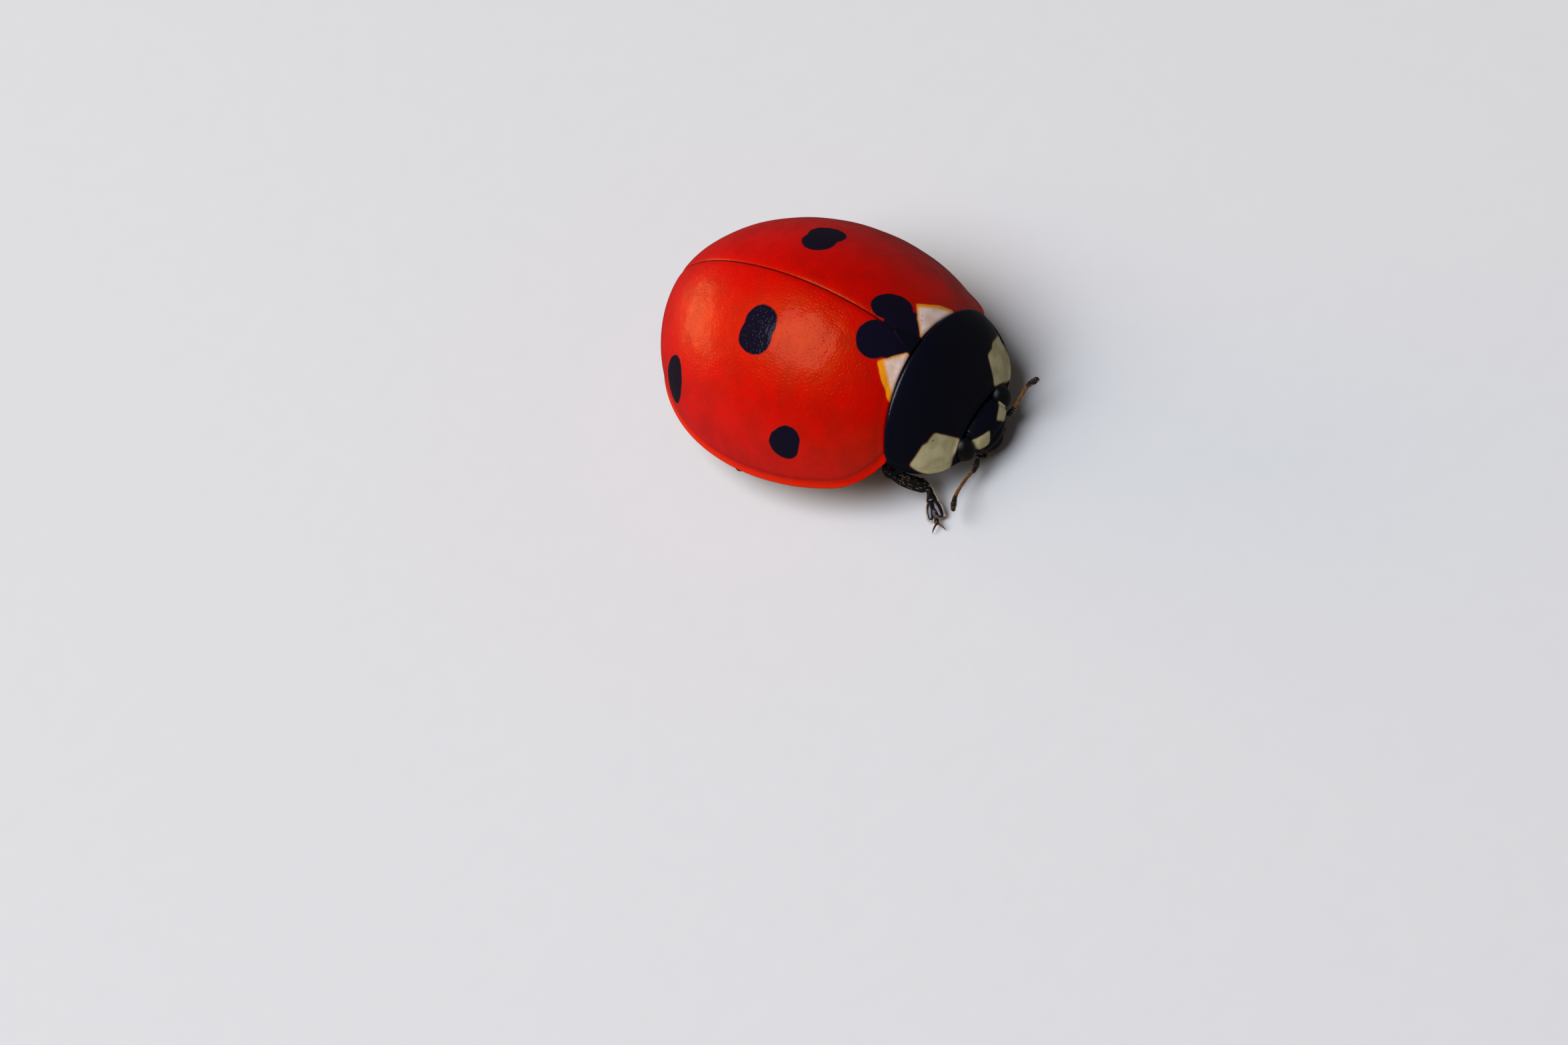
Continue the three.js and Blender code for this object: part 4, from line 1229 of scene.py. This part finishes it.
def trunk_grid(forward, belly):
    """Closed rings round the trunk, each its back and then its underside, which reaches down to belly."""
    half = dome_width(forward, TRUNK_ROOM)[:, None]
    top = dome_height(forward, TRUNK_ROOM)[:, None] * TRUNK_FILL
    over = np.linspace(-math.pi / 2, math.pi / 2, POINTS_OVER)[None]
    below = np.linspace(math.pi / 2, -math.pi / 2, POINTS_UNDER + 2)[None, 1:-1]
    along = forward[:, None]
    rise = np.maximum(top, TRUNK_LEVEL) - TRUNK_LEVEL
    ring_top = [half * np.sin(over), along + 0 * over, TRUNK_LEVEL + rise * np.cos(over)]
    drop = (belly[:, None] - TRUNK_LEVEL) * np.maximum(np.cos(below), 0) ** 0.8
    ring_low = [half * np.sin(below), along + 0 * below, TRUNK_LEVEL + drop]
    return np.concatenate([np.stack(ring_top, -1), np.stack(ring_low, -1)], 1)


def thorax():
    """Middle and hind thorax, with the breast plates' seams in the underside."""
    forward = np.linspace(THORAX["front"], THORAX["rear"], THORAX_ROWS)
    grid = trunk_grid(forward, np.full(THORAX_ROWS, THORAX["belly"]))
    low = grid[:, POINTS_OVER:]
    x, f = np.abs(low[..., 0]), low[..., 1]
    # seams: middle line, side plates, between middle and hind breast, front edge of the middle breast
    groove = 0.04 * bump(x, 0.03) * np.clip((1.2 - f) * 5, 0, 1)
    groove += 0.05 * bump(x - (1.22 + 0.12 * (f - 1)), 0.035)
    groove += 0.05 * bump(f - (1.12 + 0.2 * (x / 1.2) ** 2), 0.035) * np.clip((1.3 - x) * 8, 0, 1)
    groove += 0.05 * bump(f - (1.98 + 0.1 * x), 0.035)
    groove += 0.045 * bump(f - (0.62 + 0.1 * x), 0.03)
    low[..., 2] += groove
    return Shape().rings(grid)


def abdomen():
    """Six belly plates, each lapping the next, and the tip."""
    tip = 0.12 * np.geomspace(0.9, 0.002, ABDOMEN_TIP_ROWS)
    forward = np.linspace(ABDOMEN["front"], ABDOMEN["rear"] + 0.12, ABDOMEN_ROWS)
    forward = np.concatenate([forward, ABDOMEN["rear"] + tip])
    along = (ABDOMEN["front"] - forward) / (ABDOMEN["front"] - ABDOMEN["rear"])
    grid = trunk_grid(forward, ABDOMEN["belly"] * (1 - along**2))
    low = grid[:, POINTS_OVER:]
    bow = 0.14 * (low[..., 0] / 1.9) ** 2 + along[:, None]
    plate = (bow * VENTRITES) % 1.0
    # each plate rises towards its hind edge and drops to the next
    low[..., 2] += 0.07 * (1 - plate) ** 1.5 + 0.02 * bump(plate - 1, 0.06)
    return Shape().rings(grid)


def belly_hairs(plates, draw, count):
    """Short pale hairs that lie back over the underside."""
    points = np.vstack(plates.points)
    low = points[points[:, 2] < -0.02]
    roots = low[draw.integers(0, len(low), count)] + draw.normal(0, 0.01, (count, 3)) * [1, 1, 0]
    aim = np.array([0, -1.0, -0.45]) + draw.normal(0, 0.15, (count, 3))
    shape = Shape()
    shape.hairs(roots, aim, BELLY_HAIR_LENGTH * draw.uniform(0.7, 1.2, count), BODY_HAIR)
    return shape


# ---- operators ----


class LadybirdOperator:
    """What the build steps share: the settings, kept on the scene."""

    bl_options = {"REGISTER", "UNDO"}

    def settings(self, context):
        """The colours and sizes that are set."""
        return context.scene.ladybird_colours, context.scene.ladybird_sizes


class LADYBIRD_OT_wing_cases(LadybirdOperator, bpy.types.Operator):
    """Makes the two wing cases and the scutellum between them"""

    bl_idname = "ladybird.wing_cases"
    bl_label = "Wing Cases"

    def execute(self, context):
        colours, sizes = self.settings(context)
        inner = wing_case_underside(colours)
        for name, side in SIDES.items():
            looks = [waxed_red_cuticle(name, colours, sizes), inner]
            wing_case(side, sizes).piece(f"wing_case_{name}", looks, "wing_case", f"elytron_{name}")
        black = polished_black_cuticle("Cuticle_black_polished_scutellum", colours, sizes)
        scutellum().piece("scutellum", [black], "cuticle", "thorax")
        return {"FINISHED"}


class LADYBIRD_OT_pronotum(LadybirdOperator, bpy.types.Operator):
    """Makes the pronotum with its ivory front corners"""

    bl_idname = "ladybird.pronotum"
    bl_label = "Pronotum"

    def execute(self, context):
        colours, sizes = self.settings(context)
        name = "Cuticle_black_polished_pronotum"
        black = polished_black_cuticle(name, colours, sizes, PRONOTUM_PATCHES, 0.01, shield=True)
        pronotum(sizes).piece("pronotum_shield", [black], "cuticle", "pronotum")
        return {"FINISHED"}


class LADYBIRD_OT_head(LadybirdOperator, bpy.types.Operator):
    """Makes the head, its mouthparts and its eyes"""

    bl_idname = "ladybird.head"
    bl_label = "Head and Eyes"

    def execute(self, context):
        colours, sizes = self.settings(context)
        draw = np.random.default_rng(SEEDS["head"])
        looks = [
            polished_black_cuticle("Cuticle_black_polished_head", colours, sizes, HEAD_PATCHES),
            limb_cuticle("Cuticle_brown_mouth", colours.club, 0.35),
            limb_cuticle("Cuticle_red_brown_jaw", colours.claw, 0.3),
        ]
        shape, hairs = head_capsule(), Shape()
        mouthparts(shape, hairs, draw)
        shape.piece("head_capsule", looks, "cuticle", "head")
        hairs.piece("head_hairs", [hair_keratin(colours)], "antenna", "head", weld=False)
        cornea = faceted_eye(colours)
        for name, side in SIDES.items():
            compound_eye(side).piece(f"compound_eye_{name}", [cornea], "eye", f"eye_{name}")
        return {"FINISHED"}


class LADYBIRD_OT_antennae(LadybirdOperator, bpy.types.Operator):
    """Makes the two antennae"""

    bl_idname = "ladybird.antennae"
    bl_label = "Antennae"

    def execute(self, context):
        colours, _ = self.settings(context)
        draw = np.random.default_rng(SEEDS["antennae"])
        looks = [
            limb_cuticle("Cuticle_brown_antenna", colours.antenna, 0.35),
            limb_cuticle("Cuticle_dark_antenna", colours.club, 0.35),
        ]
        pale = hair_keratin(colours)
        for name in SIDES:
            shape, hairs = Shape(), Shape()
            antenna(name, shape, hairs, draw)
            node = f"antenna_{name}"
            shape.piece(f"antenna_segments_{name}", looks, "antenna", node)
            hairs.piece(f"antenna_hairs_{name}", [pale], "antenna", node, weld=False)
        return {"FINISHED"}


class LADYBIRD_OT_legs(LadybirdOperator, bpy.types.Operator):
    """Makes the six legs with their hairs and claws"""

    bl_idname = "ladybird.legs"
    bl_label = "Legs"

    def execute(self, context):
        colours, sizes = self.settings(context)
        draw = np.random.default_rng(SEEDS["legs"])
        black = limb_cuticle("Cuticle_black_leg", colours.limb, 0.2)
        horn = limb_cuticle("Cuticle_red_brown_claw", colours.claw, 0.25)
        pale = hair_keratin(colours)
        for name, points in LEGS.items():
            body, hairs = leg(points, HIPS[name.split("_")[0]], sizes, draw)
            node = f"leg_{name}"
            body.piece(f"limb_{name}", [black], "leg", node)
            hairs.piece(f"limb_hairs_{name}", [pale], "leg", node, weld=False)
            claws(points).piece(f"claws_{name}", [horn], "leg", node)
        return {"FINISHED"}


class LADYBIRD_OT_trunk(LadybirdOperator, bpy.types.Operator):
    """Makes the thorax and abdomen under the wing cases"""

    bl_idname = "ladybird.trunk"
    bl_label = "Trunk"

    def execute(self, context):
        colours, sizes = self.settings(context)
        draw = np.random.default_rng(SEEDS["trunk"])
        black = polished_black_cuticle("Cuticle_black_polished_trunk", colours, sizes)
        pale = hair_keratin(colours)
        for name, shape, count in (("thorax", thorax(), 500), ("abdomen", abdomen(), 900)):
            shape.piece(f"{name}_plates", [black], "cuticle", name)
            hairs = belly_hairs(shape, draw, count)
            hairs.piece(f"{name}_hairs", [pale], "leg", name, weld=False)
        return {"FINISHED"}


class LADYBIRD_OT_studio(bpy.types.Operator):
    """Makes the floor, the soft lights and the camera"""

    bl_idname = "ladybird.studio"
    bl_label = "Studio"

    def execute(self, context):
        studio = context.scene.ladybird_studio
        self.floor()
        self.lights(context, studio)
        self.camera(context, studio)
        return {"FINISHED"}

    def floor(self):
        """A flat sheet of paper under the animal."""
        mesh = bpy.data.meshes.new("floor")
        corners = [(x * FLOOR_HALF, y * FLOOR_HALF, 0) for x, y in ((-1, -1), (1, -1), (1, 1), (-1, 1))]
        mesh.from_pydata(corners, [], [(0, 1, 2, 3)])
        mesh.materials.append(matte_paper("Paper_matt_pale_grey", PAPER_GREY))
        made = placed("floor", mesh)
        # the gloss mirrors the dim room instead, because a pale floor would veil the reds and blacks
        made.visible_glossy = False

    def softbox(self, name, light, power):
        """A soft area light that shines on the animal from a direction. The camera doesn't see it."""
        direction, distance, size, colour = light
        data = bpy.data.lights.new(name, "AREA")
        data.shape = "ELLIPSE"
        data.size, data.size_y = size
        data.energy = power
        data.color = srgb(colour)[:3]
        made = placed(name, data)
        towards = Vector(direction).normalized()
        made.location = towards * distance + Vector((0, 0, AIM_HEIGHT))
        made.rotation_euler = towards.to_track_quat("Z", "Y").to_euler()
        made.visible_camera = False
        return made

    def lights(self, context, studio):
        """Two shaped softboxes for the gloss, and one wide even one that the gloss doesn't mirror."""
        self.softbox("key_softbox", KEY_LIGHT, studio.key_power)
        self.softbox("back_softbox", BACK_LIGHT, studio.key_power * BACK_SHARE)
        even = self.softbox("even_softbox", EVEN_LIGHT, studio.fill_power)
        even.visible_glossy = False
        world = bpy.data.worlds.new("soft_room")
        world.use_nodes = True
        sky = world.node_tree.nodes["Background"]
        sky.inputs["Color"].default_value = srgb(ROOM_COLOUR)
        sky.inputs["Strength"].default_value = ROOM_STRENGTH
        context.scene.world = world
        context.scene.view_settings.view_transform = "Standard"

    def camera(self, context, studio):
        """The camera, turned so that the rim's middle lies right of and above the picture's middle."""
        azimuth, elevation, roll = studio.azimuth, studio.elevation, studio.roll
        level = math.cos(elevation)
        back = Vector((math.sin(azimuth) * level, -math.cos(azimuth) * level, math.sin(elevation)))
        right = (-back).cross(Vector((0, 0, 1))).normalized()
        up = right.cross(-back)
        c, s = math.cos(roll), math.sin(roll)
        right, up = right * c + up * s, up * c - right * s
        focal = studio.lens / SENSOR * IMAGE_WIDTH
        right_of, above = RIM_MIDDLE_AT[0] - IMAGE_WIDTH / 2, IMAGE_HEIGHT / 2 - RIM_MIDDLE_AT[1]
        seen = Vector((right_of / focal, above / focal, -1))
        turn = seen.rotation_difference(Vector((0, 0, -1))).to_matrix()
        axes = Matrix((right, up, back)).transposed() @ turn
        data = bpy.data.cameras.new("camera")
        data.lens, data.sensor_width = studio.lens, SENSOR
        data.clip_start, data.clip_end = CLIP_NEAR, CLIP_FAR
        made = placed("camera", data)
        middle = Vector(to_frame((0, 0, 0))[0])
        made.matrix_world = Matrix.Translation(middle + back * studio.distance) @ axes.to_4x4()
        context.scene.camera = made


class LADYBIRD_PT_panel(bpy.types.Panel):
    """Lists the build steps and the settings"""

    bl_label = "Ladybird"
    bl_idname = "LADYBIRD_PT_panel"
    bl_space_type = "VIEW_3D"
    bl_region_type = "UI"
    bl_category = "Ladybird"

    def draw(self, context):
        for step in STEPS:
            self.layout.operator(step.bl_idname)
        for name in GROUPS:
            group = getattr(context.scene, name)
            box = self.layout.box()
            for key in group.__annotations__:
                box.prop(group, key)


STEPS = (
    LADYBIRD_OT_studio, LADYBIRD_OT_trunk, LADYBIRD_OT_wing_cases, LADYBIRD_OT_pronotum,
    LADYBIRD_OT_head, LADYBIRD_OT_antennae, LADYBIRD_OT_legs,
)
GROUPS = {
    "ladybird_colours": LadybirdColours,
    "ladybird_sizes": LadybirdSizes,
    "ladybird_studio": LadybirdStudio,
}


def register():
    """Makes the settings, the build steps and the panel known."""
    for cls in (*GROUPS.values(), *STEPS, LADYBIRD_PT_panel):
        bpy.utils.register_class(cls)
    for name, group in GROUPS.items():
        setattr(bpy.types.Scene, name, PointerProperty(type=group))


def unregister():
    """Takes all of them away again."""
    for name in GROUPS:
        delattr(bpy.types.Scene, name)
    for cls in reversed((*GROUPS.values(), *STEPS, LADYBIRD_PT_panel)):
        bpy.utils.unregister_class(cls)


def main():
    """Runs the build steps in order."""
    register()
    for step in STEPS:
        family, name = step.bl_idname.split(".")
        getattr(getattr(bpy.ops, family), name)()


if __name__ == "__main__":
    main()
